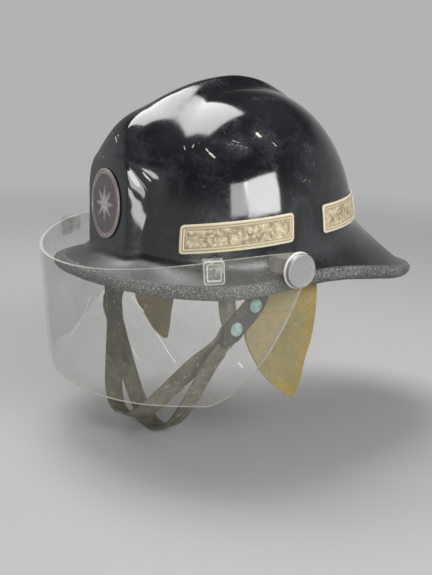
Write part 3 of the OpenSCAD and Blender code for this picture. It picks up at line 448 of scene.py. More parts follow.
def plainPlastic(name, colour, rough, dirt, depth=0.03):
    p = Paint(name)
    cloud = p.noise(60, 5, 0.6)
    fine = p.noise(1400, 2)
    tone = p.blend(p.step(cloud, 0.45, 0.75) * 0.7, colour, dirt)
    return p.finish(Base_Color=tone, Roughness=rough + cloud * 0.15, Normal=p.bump(fine, depth, 0.4))


def metal(name, colour, tarnish, rough, amount=0.5, scale=90, turned=None):
    p = Paint(name)
    cloud = p.noise(scale, 6, 0.65)
    scuff = p.noise(700, 3, 0.6, vector=p.shifted((1, 0.12, 1), (35, 20, 0)))
    mask = p.step(cloud, 0.62 - 0.3 * amount, 0.85 - 0.2 * amount)
    height = scuff * 0.4 + mask * 0.3
    if turned:  # fine rings left by the lathe, about an X axis
        ring = p.node("ShaderNodeTexWave", {"wave_type": "RINGS", "rings_direction": "X"},
                      {"Vector": p.shifted(move=(0, -turned[0] * mm, -turned[1] * mm)), "Scale": 900.0,
                       "Distortion": 1.5, "Detail": 2.0}, "Fac")
        height = height + ring * 0.25
    return p.finish(Base_Color=p.blend(mask, colour, tarnish), Metallic=1 - mask * 0.35,
                    Roughness=rough + mask * 0.3 + scuff * 0.1, Normal=p.bump(height, 0.04, 0.5))


shellTone = dict(
    black=(0.007, 0.008, 0.0095), haze=(0.042, 0.046, 0.053), scratch=(0.2, 0.205, 0.21), dust=(0.045, 0.045, 0.042),
    bare=(0.8, 0.76, 0.66), primer=(0.42, 0.4, 0.35), crown=((0, 30, 166), 120),
    worn=[  # place, reach, amount
        ((76, -40, 113), 17, 1), ((79, -17, 119), 20, 1), ((67, 0, 138), 40, 0.5), ((90, 20, 104), 30, 0.6),
        ((-60, 20, 140), 44, 0.6), ((-2, -106, 115), 14, 0.8), ((45, -66, 120), 40, 0.4)],
    chips=[  # start, end, width
        ((48.5, -73.4, 110.5), (51.7, -73.9, 106.4), 0.45), ((55.1, -69.1, 108.1), (54.4, -67.3, 110.4), 0.4),
        ((56.6, -64.5, 111.3), (56.8, -62.3, 113.3), 0.35), ((64, -62.2, 107.5), (68, -61, 104.3), 0.5),
        ((68, -61, 104.3), (71.9, -59.3, 101.5), 1.0), ((63.1, -45.2, 121.5), (66.5, -45.1, 118.6), 0.5),
        ((72.9, -42.6, 114.3), (76, -39, 112.9), 0.5), ((78.2, -38.5, 110.7), (81.1, -34.7, 109.3), 0.4),
        ((72.8, -47.3, 111.2), (74, -43.3, 112.4), 0.35), ((76.8, -22, 120), (78.8, -20.4, 118), 1.7),
        ((84, -12, 114.1), (86.7, -9.9, 111.1), 0.45), ((101.3, 8, 83.3), (100.3, 11.9, 85.5), 0.35),
        ((101.7, 12, 81.6), (100.4, 16.1, 84.6), 0.3), ((37.9, -103.4, 87.2), (41.6, -99.5, 81.6), 0.95),
        ((-8.3, -106.5, 115), (-8.9, -104.8, 117), 0.6), ((-10.6, -103, 119), (-2.7, -105.8, 116.1), 0.6),
        ((0.3, -108.3, 113.1), (5.6, -109.8, 109.4), 0.6), ((-3.8, -103.9, 118.5), (3.8, -107.5, 114.1), 0.55),
        ((74.9, -67, 88.3), (78, -67.9, 81.6), 0.15)])


def makeShellPaint():
    p = Paint("shellPaint")
    smear = p.noise(30, 4, 0.55, 0.8)
    fine = p.noise(260, 5, 0.7)
    speck = p.noise(780, 3, 0.6)
    ragged = p.noise(1100, 3, 0.7) * 2.4 - 1.2
    zone = strongest(p.near(spot, reach, 0.8) * amount for spot, reach, amount in shellTone["worn"])
    chips = p.step(p.noise(620, 4, 0.66, 0.3) + zone * 0.145, 0.79, 0.82) * p.step(zone, 0.1, 0.4)
    for start, end, width in shellTone["chips"]:
        chips = chips | p.stroke(start, end, width, ragged)
    crown = p.near(*shellTone["crown"], 0.8)
    dust = p.step(speck, 0.58, 0.68) * (p.step(smear, 0.42, 0.6) * 0.6 + 0.25) * (crown | zone)
    drawn = [p.shifted((0.09, 1.0, 0.8), (turn, 20, turn * 2), (move, move, 0))
             for turn, move in ((25, 0.0), (-50, 0.4), (80, 0.9))]
    lines = strongest(p.step(p.noise(120, 2, 0.5, 0.1, space), 0.72, 0.75) for space in drawn)
    low = 1 - p.step(p.split().other("Z"), 0.014, 0.042)
    grime = low * (p.step(fine, 0.42, 0.62) * 0.6 + 0.25)
    film = p.step(smear + (fine - 0.5) * 0.5, 0.42, 0.7) * 0.45 + zone * 0.4
    tone = p.blend(film, shellTone["black"], shellTone["haze"])
    tone = p.blend(grime * 0.35, tone, shellTone["dust"])
    tone = p.blend(dust * 0.55 | lines * p.step(smear, 0.45, 0.62) * 0.5, tone, shellTone["scratch"])
    tone = p.blend(chips, tone, p.blend(p.step(fine, 0.35, 0.65), shellTone["bare"], shellTone["primer"]))
    rough = 0.085 + film * 0.16 + p.step(fine, 0.5, 0.9) * 0.05 + zone * 0.06 + low * 0.24
    height = p.noise(70, 3, 0.5, 0.4) * 0.6 + p.noise(300, 2) * 0.05 - chips * 0.5 - lines * 0.1
    return p.finish(Base_Color=tone, Roughness=rough + (chips | dust) * 0.4, Specular_IOR_Level=0.9,
                    Normal=p.bump(height, 0.2, 0.4))


def makeInsidePaint():
    p = Paint("shellInside")
    strands = (p.noise(420, 3, 0.6, 0.4, p.shifted((1, 0.15, 1), (0, 0, 40)))
               | p.noise(420, 3, 0.6, 0.4, p.shifted((0.15, 1, 1), (0, 30, 0))))
    tone = p.blend(p.step(strands, 0.5, 0.75), (0.035, 0.035, 0.037), (0.075, 0.073, 0.068))
    return p.finish(Base_Color=tone, Roughness=0.55, Normal=p.bump(strands, 0.25, 0.6))


foamTone = dict(colour=(0.125, 0.132, 0.128), dark=(0.08, 0.085, 0.083), light=(0.38, 0.39, 0.375),
                pore=(0.022, 0.024, 0.024))


def makeFoam():
    p = Paint("foamRubber")
    pores = p.cells(620)
    grit = p.noise(760, 2, 0.8)
    cloud = p.noise(45, 4, 0.6)
    tone = p.blend(p.step(cloud, 0.35, 0.7), foamTone["dark"], foamTone["colour"])
    tone = p.blend(p.step(grit, 0.53, 0.59) * 0.8, tone, foamTone["light"])
    tone = p.blend((1 - p.step(pores, 0.2, 0.36)) * 0.9, tone, foamTone["pore"])
    return p.finish(Base_Color=tone, Roughness=0.9, Specular_IOR_Level=0.25,
                    Normal=p.bump(p.step(pores, 0.0, 0.45) + grit, 0.6, 0.9))


# edge is the rim's near-white colour, a painted glint; edgeDullAndShaded is its dull streaks and the painted shade of
# its upper edge
visorTone = dict(
    colour=(0.34, 0.33, 0.29), stain=(0.28, 0.26, 0.21), marks=(0.85, 0.84, 0.8), edge=(0.86, 0.85, 0.78),
    edgeDullAndShaded=(0.6, 0.58, 0.5), cover=0.1, cloud=0.09,
    scratches=[  # in metres on the sheet: start, way to the end, bend, width
        (0.2927, 0.0724, -0.0497, -0.0461, -0.025, 0.0006), (0.3473, 0.0483, 0.018, -0.022, 0.002, 0.0006),
        (0.3287, 0.0373, 0.0054, -0.0088, 0, 0.0006), (0.3287, 0.0702, 0.0107, -0.011, 0.003, 0.0007),
        (0.4127, 0.0197, 0.0046, -0.0065, 0, 0.0007), (0.11, 0.05, 0.02, 0.035, 0.02, 0.0006)])


def makeVisorPaint(name, scratched=True):
    p = Paint(name)
    flat = p.ownMap()
    smear = p.noise(16, 5, 0.6, 0.7)
    specks = p.step(p.noise(520, 3, 0.6), 0.63, 0.7) * p.step(smear, 0.3, 0.6)
    hair = strongest(p.step(p.noise(95, 2, 0.45, 0.05, p.shifted((0.06, 1, 1), (0, 0, turn), (move, 0.2, 0), flat)),
                            0.725, 0.75) for turn, move in ((8, 0.0), (62, 0.3), (-35, 0.7), (110, 0.5)))
    marks = hair * p.step(smear, 0.42, 0.6) * (1.0 if scratched else 0.2)
    x = p.split(flat)
    y = x.other("Y")
    for u0, v0, du, dv, bend, width in visorTone["scratches"] if scratched else []:
        size = math.hypot(du, dv)
        alongIt = ((x - u0) * (du / size) + (y - v0) * (dv / size)) / size
        offIt = (x - u0) * (-dv / size) + (y - v0) * (du / size) + alongIt * (1 - alongIt) * bend
        line = 1 - p.step(abs(offIt), width * 0.4, width)
        marks = marks | line * p.between(alongIt, (0.0, 0.08), (0.9, 1.0)) * 0.9
    clouded = p.step(smear, 0.35, 0.8) * visorTone["cloud"]
    facing = p.node("ShaderNodeLayerWeight", None, {"Blend": 0.35}, "Facing")
    cover = visorTone["cover"] + clouded + marks * 0.5 + specks * 0.3 + facing * facing * facing * 0.4
    tone = p.blend(p.step(smear, 0.4, 0.7), visorTone["colour"], visorTone["stain"])
    tone = p.blend(marks | (specks * 0.8), tone, visorTone["marks"])
    return p.finish(Base_Color=tone, Roughness=0.09 + marks * 0.3 + clouded * 0.5, Alpha=cover & 1.0,
                    Specular_IOR_Level=1.0, Coat_Weight=0.6, Coat_Roughness=0.05, Normal=p.bump(smear, 0.35, 0.2))


def makeVisorEdgeGlint():
    p = Paint("visorEdge")
    streak = p.noise(300, 4, 0.6)
    # The rim is painted near white as a glint. Its upper edge is painted darker as painted shade, and made more
    # see-through, beside dull streaks.
    upper = p.step(p.split().other("Z"), 0.005, 0.018)
    streakAndShade = p.step(streak, 0.4, 0.65) | upper * 0.6
    return p.finish(Base_Color=p.blend(streakAndShade, visorTone["edge"], visorTone["edgeDullAndShaded"]), Roughness=0.2 + streak * 0.2,
                    Alpha=0.62 + p.step(streak, 0.35, 0.6) * 0.25 - upper * 0.2, Normal=p.bump(streak, 0.05, 0.4))


# clear is the plastic's tint; light is the near-white of its painted highlights
clipColourAndHighlight = dict(clear=(0.5, 0.49, 0.44), light=(0.9, 0.89, 0.84))


def makeClipWithPaintedHighlights():
    p = Paint("clearClip")
    facing = p.node("ShaderNodeLayerWeight", None, {"Blend": 0.5}, "Facing")
    inner = p.split(p.ownMap("faceShare"))
    cloud = p.noise(300, 4, 0.6)
    # Painted highlights: near-white lines on the rim and on the step down to the window, with paler cloudy patches;
    # these also make the plastic less see-through
    line = p.between(inner, (0.27, 0.33), (0.42, 0.46)) | p.between(inner, (0.002, 0.02), (0.09, 0.13))
    light = line * 0.75 | p.step(cloud, 0.54, 0.64) * 0.6
    return p.finish(Base_Color=p.blend(light, clipColourAndHighlight["clear"], clipColourAndHighlight["light"]), Roughness=0.1 + cloud * 0.1,
                    Alpha=(0.13 + facing * facing * 0.4 + light * 0.5) & 1.0, Specular_IOR_Level=1.0,
                    Normal=p.bump(cloud, 0.12, 0.5))


markerTone = dict(cream=(0.7, 0.63, 0.45), aged=(0.56, 0.47, 0.3), tan=(0.46, 0.38, 0.23), brown=(0.23, 0.175, 0.1))


def makeMarkerPaint():
    p = Paint("markerFace")
    inner = p.split(p.ownMap("faceShare"))
    cloud = p.noise(120, 6, 0.72, 0.2)
    stain = p.noise(300, 5, 0.7, 0.2)
    fine = p.noise(800, 3, 0.7)
    tone = p.blend(p.step(fine, 0.4, 0.7) * 0.5, markerTone["cream"], markerTone["aged"])
    mottle = p.blend(p.step(cloud, 0.42, 0.58), markerTone["tan"], markerTone["brown"])
    mottle = p.blend(p.step(stain, 0.44, 0.62) * 0.8, mottle, markerTone["cream"])
    tone = p.blend(p.step(inner, 0.5, 0.6) * 0.95, tone, mottle)
    groove = p.between(inner, (0.2, 0.26), (0.34, 0.4)) | p.between(inner, (0.44, 0.5), (0.56, 0.64))
    tone = p.blend(groove * 0.7, tone, markerTone["brown"])
    return p.finish(Base_Color=tone, Roughness=0.42 + cloud * 0.2, Normal=p.bump(p.noise(500, 4, 0.6), 0.2, 0.5),
                    Specular_IOR_Level=0.4)


flapTone = dict(tan=(0.31, 0.245, 0.105), grey=(0.25, 0.215, 0.11), green=(0.2, 0.185, 0.11),
                yellow=(0.31, 0.22, 0.04), dark=(0.11, 0.085, 0.035), pale=(0.45, 0.4, 0.24))


def makeFlapLeather():
    p = Paint("tanLeather")
    across = p.split(p.ownMap())
    down = across.other("Y")
    cloud = p.noise(34, 5, 0.6, 0.5)
    blotch = p.noise(85, 5, 0.68, 0.6, p.shifted(move=(0.3, 0.1, 0.7)))
    fine = p.noise(520, 4, 0.7)
    pores = p.cells(1100)
    tone = p.blend(p.step(cloud, 0.4, 0.62), flapTone["tan"], flapTone["grey"])
    tone = p.blend(p.step(blotch, 0.48, 0.66) * 0.75, tone, flapTone["green"])
    rear = p.step(across + (blotch - 0.5) * 0.03, 0.034, 0.05)
    top = 1 - p.step(down + (cloud - 0.5) * 0.06, 0.014, 0.05)
    tone = p.blend((rear | top | p.step(down, 0.1, 0.116) * 0.6) * 0.8, tone, flapTone["yellow"])
    tone = p.blend(p.step(fine, 0.5, 0.7) * 0.45, tone, flapTone["dark"])
    tone = p.blend(p.step(p.noise(300, 3, 0.6), 0.62, 0.72) * 0.35, tone, flapTone["pale"])
    return p.finish(Base_Color=tone, Roughness=0.6 + cloud * 0.2, Specular_IOR_Level=0.35,
                    Normal=p.bump(p.step(pores, 0.0, 0.6) * 0.3 + fine * 0.7 + blotch * 0.5, 0.3, 0.7))


# deep is painted shade for the hollows of the relief; worn is the rubbed high points
badgeTone = dict(deep=(0.15, 0.128, 0.122), pewter=(0.42, 0.37, 0.36), worn=(0.75, 0.7, 0.67))


def makeBadgeWithPaintedShade():
    p = Paint("badgePewter")
    relief = p.split(p.ownMap("relief"))
    cloud = p.noise(420, 5, 0.7)
    # Painted shade: the lower the relief, the darker the colour; rubbed high points turn paler
    high = p.step(relief + (cloud - 0.5) * 0.35, 0.3, 0.85)
    rubbed = p.step(relief, 0.6, 0.9) * (p.step(cloud, 0.42, 0.58) * 0.6 + 0.4)
    tone = p.blend(rubbed, p.blend(high, badgeTone["deep"], badgeTone["pewter"]), badgeTone["worn"])
    return p.finish(Base_Color=tone, Metallic=0.3 + high * 0.35, Roughness=0.5 - high * 0.12,
                    Normal=p.bump(cloud, 0.12, 0.6))


studTone = dict(green=(0.2, 0.37, 0.34), pale=(0.43, 0.6, 0.54), metal=(0.36, 0.33, 0.24))


def makeVerdigris():
    p = Paint("verdigris")
    cloud = p.noise(260, 5, 0.7, 0.6)
    grit = p.noise(1300, 3, 0.7)
    tone = p.blend(p.step(cloud, 0.38, 0.62), studTone["green"], studTone["pale"])
    tone = p.blend(p.step(grit, 0.6, 0.75) * 0.6, tone, studTone["metal"])
    return p.finish(Base_Color=tone, Roughness=0.7, Metallic=p.step(grit, 0.62, 0.75) * 0.5,
                    Normal=p.bump(cloud + grit * 0.5, 0.12, 0.6))


def makeWebbing(name, colour, dark, pitch):
    p = Paint(name)
    x = p.split(p.ownMap())
    y = x.other("Y")
    turn = 2 * math.pi / (pitch * mm)
    warp = x.sum("SINE", y * turn * 1.6)
    weft = x.sum("SINE", (x + y * 0.5) * turn)
    height = warp * 0.4 + weft * warp * 0.6
    cloud = p.noise(70, 5, 0.6)
    tone = p.blend(p.step(height, -0.8, 0.5), dark, colour)
    tone = p.blend(p.step(cloud, 0.5, 0.75) * 0.4, tone, [c * 0.6 for c in colour])
    return p.finish(Base_Color=tone, Roughness=0.88, Normal=p.bump(height, 0.2, 0.8), Sheen_Weight=0.2)


paints = {
    "shell": makeShellPaint(),
    "inside": makeInsidePaint(),
    "foam": makeFoam(),
    "visor": makeVisorPaint("visorSheet"),
    "visorEdge": makeVisorEdgeGlint(),
    "visorInside": makeVisorPaint("visorInside", False),
    "clip": makeClipWithPaintedHighlights(),
    "marker": makeMarkerPaint(),
    "verdigris": makeVerdigris(),
    "spacer": plainPlastic("spacerPlastic", (0.3, 0.285, 0.24), 0.5, (0.18, 0.165, 0.13)),
    "washer": plainPlastic("paleWasher", (0.74, 0.73, 0.68), 0.35, (0.5, 0.47, 0.4)),
    "black": plainPlastic("blackPlastic", (0.03, 0.03, 0.032), 0.5, (0.07, 0.065, 0.06)),
    "liner": plainPlastic("linerFoam", (0.74, 0.71, 0.62), 0.85, (0.52, 0.47, 0.36), 0.25),
    "alloy": metal("knobAlloy", (0.46, 0.46, 0.465), (0.24, 0.24, 0.23), 0.47, 0.45, 600, (pivot["y"], pivot["z"])),
    "steel": metal("dullSteel", (0.42, 0.42, 0.41), (0.2, 0.18, 0.15), 0.4),
    "brass": metal("agedBrass", (0.52, 0.4, 0.2), (0.2, 0.16, 0.09), 0.38, 0.6),
    "pewter": metal("dullPewter", (0.46, 0.41, 0.4), (0.2, 0.17, 0.165), 0.42, 0.5, 260),
    "badge": makeBadgeWithPaintedShade(),
    "tan": makeFlapLeather(),
    "dark": leather("darkLeather", (0.052, 0.048, 0.042), (0.024, 0.022, 0.02), (0.13, 0.12, 0.1), 0.6),
    "strap": leather("strapLeather", (0.2, 0.192, 0.14), (0.1, 0.095, 0.067), (0.33, 0.315, 0.24), 0.7),
    "brown": leather("brownLeather", (0.2, 0.1, 0.045), (0.09, 0.042, 0.018), (0.33, 0.2, 0.1), 0.5),
    "tape": makeWebbing("crownTape", (0.56, 0.53, 0.44), (0.27, 0.25, 0.19), 1.1),
    "thread": plainPlastic("thread", (0.5, 0.44, 0.32), 0.8, (0.3, 0.25, 0.17)),
}
print("finishes:", len(paints))


# Geometry node trees
def nodeTree(name, inputs):
    tree = bpy.data.node_groups.new(name, "GeometryNodeTree")
    tree.interface.new_socket("Geometry", in_out="INPUT", socket_type="NodeSocketGeometry")
    for title, kind, value in inputs:
        made = tree.interface.new_socket(title, in_out="INPUT", socket_type="NodeSocket" + kind)
        if value is not None:
            made.default_value = value
    tree.interface.new_socket("Geometry", in_out="OUTPUT", socket_type="NodeSocketGeometry")
    return Tree(tree)


def endTree(tree, start, geometry):
    real = tree.node("GeometryNodeRealizeInstances", None, {0: geometry})
    painted = tree.node("GeometryNodeSetMaterial", None, {"Geometry": real, "Material": start.other("Material")})
    tree.node("NodeGroupOutput", None, {0: painted})
    return tree.nodeTree


def runTree(piece, tree, **inputs):  # puts the tree on the piece, and gives the plain mesh that it makes
    run = piece.modifiers.new("nodes", "NODES")
    run.node_group = tree
    for item in tree.interface.items_tree:
        if item.in_out == "INPUT" and item.name in inputs:
            run[item.identifier] = inputs[item.name]
    graph = bpy.context.evaluated_depsgraph_get()
    done = bpy.data.meshes.new_from_object(piece.evaluated_get(graph))
    bpy.data.objects.remove(piece)
    return done


def makeStudTree():  # a domed head and a shank at each point, turned along its "facing" attribute
    tree = nodeTree("studsOnPoints", [("Head Radius", "Float", 0.0036), ("Head Height", "Float", 0.0014),
                                      ("Shank Radius", "Float", 0.0017), ("Shank Length", "Float", 0.003),
                                      ("Material", "Material", None)])
    start = tree.node("NodeGroupInput")
    ball = tree.node("GeometryNodeMeshUVSphere", None, {"Segments": 20, "Rings": 10, "Radius": 1.0})
    size = tree.node("ShaderNodeCombineXYZ", None, {0: start.other("Head Radius"), 1: start.other("Head Radius"),
                                                    2: start.other("Head Height")})
    head = tree.node("GeometryNodeTransform", None, {"Geometry": ball, "Scale": size})
    rod = tree.node("GeometryNodeMeshCylinder", None, {"Vertices": 16, "Radius": start.other("Shank Radius"),
                                                       "Depth": start.other("Shank Length")})
    low = tree.node("ShaderNodeCombineXYZ", None, {2: start.other("Shank Length") * -0.5})
    shank = tree.node("GeometryNodeTransform", None, {"Geometry": rod, "Translation": low})
    both = tree.nodeTree.nodes.new("GeometryNodeJoinGeometry")
    for part in (shank, head):
        tree.nodeTree.links.new(part.socket, both.inputs[0])
    facing = tree.node("GeometryNodeInputNamedAttribute", {"data_type": "FLOAT_VECTOR"}, {"Name": "facing"})
    turn = tree.node("FunctionNodeAlignRotationToVector", {"axis": "Z"}, {"Vector": facing})
    placed = tree.node("GeometryNodeInstanceOnPoints", None,
                       {"Points": start.other("Geometry"), "Instance": Wire(tree, both.outputs[0]), "Rotation": turn})
    return endTree(tree, start, placed)


def makeStitchTree():  # threads laid end to end along a curve
    tree = nodeTree("stitchesOnCurve", [("Pitch", "Float", 0.004), ("Thread Length", "Float", 0.003),
                                        ("Thread Radius", "Float", 0.0004), ("Material", "Material", None)])
    start = tree.node("NodeGroupInput")
    steps = tree.node("GeometryNodeResampleCurve", {"mode": "LENGTH"},
                      {"Curve": start.other("Geometry"), "Length": start.other("Pitch")})
    ball = tree.node("GeometryNodeMeshUVSphere", None, {"Segments": 10, "Rings": 6, "Radius": 1.0})
    size = tree.node("ShaderNodeCombineXYZ", None, {0: start.other("Thread Radius"), 1: start.other("Thread Radius"),
                                                    2: start.other("Thread Length") * 0.5})
    thread = tree.node("GeometryNodeTransform", None, {"Geometry": ball, "Scale": size})
    tangent = tree.node("GeometryNodeInputTangent")
    turn = tree.node("FunctionNodeAlignRotationToVector", {"axis": "Z"}, {"Vector": tangent})
    placed = tree.node("GeometryNodeInstanceOnPoints", None, {"Points": steps, "Instance": thread, "Rotation": turn})
    return endTree(tree, start, placed)


def makeSweepTree():  # a closed profile led along the rim, with the uneven skin of foam
    tree = nodeTree("channelAlongRim", [("Profile", "Object", None), ("Unevenness", "Float", 0.0004),
                                        ("Grain", "Float", 60.0), ("Material", "Material", None)])
    start = tree.node("NodeGroupInput")
    shape = tree.node("GeometryNodeObjectInfo", None, {"Object": start.other("Profile")}, "Geometry")
    tube = tree.node("GeometryNodeCurveToMesh", None, {"Curve": start.other("Geometry"), "Profile Curve": shape})
    lumps = tree.node("ShaderNodeTexNoise", None, {"Scale": start.other("Grain"), "Detail": 2.0})
    normal = tree.node("GeometryNodeInputNormal")
    push = tree.node("ShaderNodeVectorMath", {"operation": "SCALE"},
                     {0: normal, "Scale": (lumps - 0.5) * start.other("Unevenness") * 2})
    moved = tree.node("GeometryNodeSetPosition", None, {"Geometry": tube, "Offset": push})
    return endTree(tree, start, moved)


studTree, stitchTree, sweepTree = makeStudTree(), makeStitchTree(), makeSweepTree()


def pointCloud(name, points, facing):
    mesh = meshOf(points, [], name)
    turned = mesh.attributes.new("facing", "FLOAT_VECTOR", "POINT")
    turned.data.foreach_set("vector", np.asarray(facing, float).ravel())
    piece = bpy.data.objects.new(name, mesh)
    scene.collection.objects.link(piece)
    return piece


def closedPath(name, points, tilt=None):
    curve = bpy.data.curves.new(name, "CURVE")
    curve.dimensions, curve.twist_mode = "3D", "Z_UP"
    line = curve.splines.new("POLY")
    line.points.add(len(points) - 1)
    line.points.foreach_set("co", np.c_[np.asarray(points) * mm, np.ones(len(points))].ravel())
    if tilt is not None:
        line.points.foreach_set("tilt", np.asarray(tilt, float))
    line.use_cyclic_u = True
    piece = bpy.data.objects.new(name, curve)
    scene.collection.objects.link(piece)
    return piece


def rivets(name, points, facing, paint, slot, stands=(), *, height, length, head=3.6, shank=1.7):
    mesh = runTree(pointCloud(name + "Points", points, facing), studTree,
                   **{"Head Radius": head * mm, "Head Height": height * mm, "Shank Radius": shank * mm,
                      "Shank Length": length * mm, "Material": paint})
    addPiece(name, mesh, [], "helmet", slot, stands, sharp=50)


stitch = dict(pitch=4.2, length=3.1, radius=0.4)


def stitches(name, path, paint, slot):
    mesh = runTree(closedPath(name + "Path", path), stitchTree,
                   **{"Pitch": stitch["pitch"] * mm, "Thread Length": stitch["length"] * mm,
                      "Thread Radius": stitch["radius"] * mm, "Material": paint})
    addPiece(name, mesh, [], "helmet", slot, sharp=60)


# Shell: rows up the brim and the dome, and a copy of them one wall further in
shellGridSize = dict(columns=320, brimRows=22, domeRows=104)


def edgeAngle(x, z):
    share = np.maximum(domeShare(z), 0.01)
    return np.degrees(np.arcsin(np.minimum(0.8, x / share / dome["halfWidth"])))


def columnAngle(j, z, cols):  # columns run along the panel's edge and foot
    q = cols // 4
    k = j % (2 * q)
    m = np.minimum(k, 2 * q - k)
    a = fanAngle(z, (j > q) & (j < 3 * q))
    edge, foot = edgeAngle(fan(ridgeHalf, a), z), edgeAngle(fan(ridgeFoot, a), z)
    outside = np.where(m < q / 2, mix(edge, foot, (m - q / 4) / (q / 4)), mix(foot, 90, (m - q / 2) / (q / 2)))
    t = np.where(m < q / 4, edge * m / (q / 4), outside)
    return np.where(j <= q, t, np.where(j <= 2 * q, 180 - t, np.where(j < 3 * q, 180 + t, 360 - t)))


def rowHeight(t, share):  # from the brim's upper end to the dome's top
    return mix(rimZ(t) + brimHeight(t), dome["top"], share)


def shellGrid(cols, brimRows, domeRows):
    j = np.arange(cols)
    base = columnAngle(j, dome["base"] + 0.0 * j, cols)
    rows = [dressed(skin(base, rimZ(base) + brimHeight(base) * u)) for u in np.linspace(0, 1, brimRows)]
    for k in range(1, domeRows + 1):
        share = math.sin(math.radians(90 * k / (domeRows + 0.5)))
        t = columnAngle(j, rowHeight(columnAngle(j, rowHeight(base, share), cols), share), cols)
        rows.append(dressed(skin(t, rowHeight(t, share))))
    return np.array(rows)


outer = shellGrid(shellGridSize["columns"], shellGridSize["brimRows"], shellGridSize["domeRows"])
rows, cols = outer.shape[:2]
outward = gridNormal(outer, True)
if outward[shellGridSize["brimRows"], cols // 4, 0] < 0:
    outward = -outward
inner = outer - outward * dome["wall"]
topPoint = dressed(np.array([0.0, dome["poleBack"], dome["top"] - 0.01]))
shellMesh = closedMesh(np.concatenate([inner[::-1], outer]), topPoint - [0, 0, dome["wall"]], topPoint)
wallPoints = rows * cols  # the inner wall's points come first, and its tip right after both walls
inside = [max(f.vertices) < wallPoints or 2 * wallPoints in f.vertices for f in shellMesh.polygons]
shellMesh.polygons.foreach_set("material_index", np.array(inside, int))
addPiece("shellSkin", shellMesh, [paints["shell"], paints["inside"]], "helmet", "shell_gloss", ["shell"], sharp=60)
print("shell:", rows, "x", cols)


# Foam trim round the rim
trim = dict(points=360, lift=0.35, grain=70.0, thick=3.5, nose=4.7, lip=6.6, slot=1.8, outlinePoints=46)


def rimFrame(t, step=0.2, climb=0.06):  # place and directions on the rim, from points close by
    a, b = skin(t, rimZ(t)), skin(t, rimZ(t) + brimHeight(t) * climb)
    side = skin(t + step, rimZ(t + step)) - skin(t - step, rimZ(t - step))
    outwards = unit(a - b)
    up = unit(np.cross(side, outwards))
    up = np.where(up[..., 2:] < 0, -up, up)
    return a - up * dome["wall"] / 2, outwards, unit(side)


angles = np.arange(trim["points"]) * 360 / trim["points"]
centre, outwards, tangent = rimFrame(angles)
flat = unit(np.cross(tangent, [0, 0, 1]))
flat = np.where((flat * outwards).sum(-1, keepdims=True) < 0, -flat, flat)
slope = np.arctan2((outwards * np.cross(flat, tangent)).sum(-1), (outwards * flat).sum(-1))
deep, lip, nose, gap = trim["thick"] + trim["slot"], trim["lip"], trim["nose"], trim["slot"]
half = [(-lip, gap), (-lip - 0.2, gap + 1.6), (-lip + 0.9, deep - 0.35), (-lip + 2.6, deep), (-1.2, deep + 0.1),
        (1.6, deep - 0.7), (3.5, deep - 2.3), (nose - 0.25, 1.9)]
outline = half + [(nose, 0)] + [(x, -y) for x, y in half[::-1]]
outline = along(np.array(outline), np.linspace(0, 1, trim["outlinePoints"]))
outline = np.r_[outline, [(-lip + 1.5, -gap), (0.4, -gap), (0.4, gap), (-lip + 1.5, gap)]]
profile = closedPath("channelProfile", np.c_[outline, 0 * outline[:, 0]])
trimMesh = runTree(closedPath("rimPath", centre, slope), sweepTree, Profile=profile, Unevenness=trim["lift"] * mm,
                   Grain=trim["grain"], Material=paints["foam"])
bpy.data.objects.remove(profile)
addPiece("foamTrim", trimMesh, [], "helmet", "foam_rubber", ["edge_trim"], sharp=50)
print("trim done")


# Visor: a sheet between its upper and its lower edge, with a round ear at each pivot
visor = dict(thickness=2.5, gapSide=10.5, gapFront=14, top=15, low=-88, cheekLow=-84, taper=9, power=2.06,
             earRadius=12, earBack=3.5, earRise=1.5, earDrop=3.4, earStart=0.7, earEnd=0.97, cheekBack=71.3,
             cheekRun=60, sweepIn=1.51, sweepOut=0.87, topRun=118, rows=40, columns=110, crowding=1.6, rounding=0.35)
visorX = brim["halfWidth"] + visor["gapSide"]
visorCentre = pivot["y"] - visor["earRadius"] - visor["earBack"]
visorReach = brim["front"] + visor["gapFront"] + visorCentre
visorCheek = pivot["y"] - visor["cheekBack"]
visorSweep = pivot["y"] + visor["earStart"] * visor["earRadius"]
visorEnd = pivot["y"] + visor["earEnd"] * visor["earRadius"]
visorSideTop = pivot["z"] + visor["earRadius"] + visor["earRise"]


def visorPlan(a, drop):
    f = visorReach - visor["taper"] * drop
    t = np.radians(a)
    front = planRadius(a, visorX, f, f, visor["power"])
    r = np.where(np.abs(a) > 90, visorX / np.maximum(np.sin(np.abs(t)), 1e-6), front)
    return np.stack([r * np.sin(t), visorCentre - r * np.cos(t)], -1)


def earHalf(y):
    return np.sqrt(np.maximum(0, visor["earRadius"] ** 2 - (y - pivot["y"]) ** 2))


def visorHigh(y):
    rise = 1 - np.sin(np.pi / 2 * np.clip((y + visorReach - visorCentre) / visor["topRun"], 0, 1))
    ear = mix(pivot["z"], visorSideTop, earHalf(y) / visor["earRadius"])
    return np.where(y > pivot["y"], ear, mix(visorSideTop, visor["top"], rise))


def visorLow(y):
    u = np.clip((y - visorCheek) / (visorSweep - visorCheek), 0, 1)
    earLow = pivot["z"] - visor["earRadius"] + visor["earDrop"]
    sweep = mix(earLow, visor["cheekLow"], (1 - u ** visor["sweepIn"]) ** visor["sweepOut"])
    front = mix(visor["cheekLow"], visor["low"], ease((visorCheek - y) / visor["cheekRun"]))
    nearEar = np.abs(y - pivot["y"]) < visor["earRadius"]
    ear = np.where(nearEar, np.minimum(sweep, pivot["z"] - earHalf(y)), sweep)
    return np.where(y < visorCheek, front, ear)


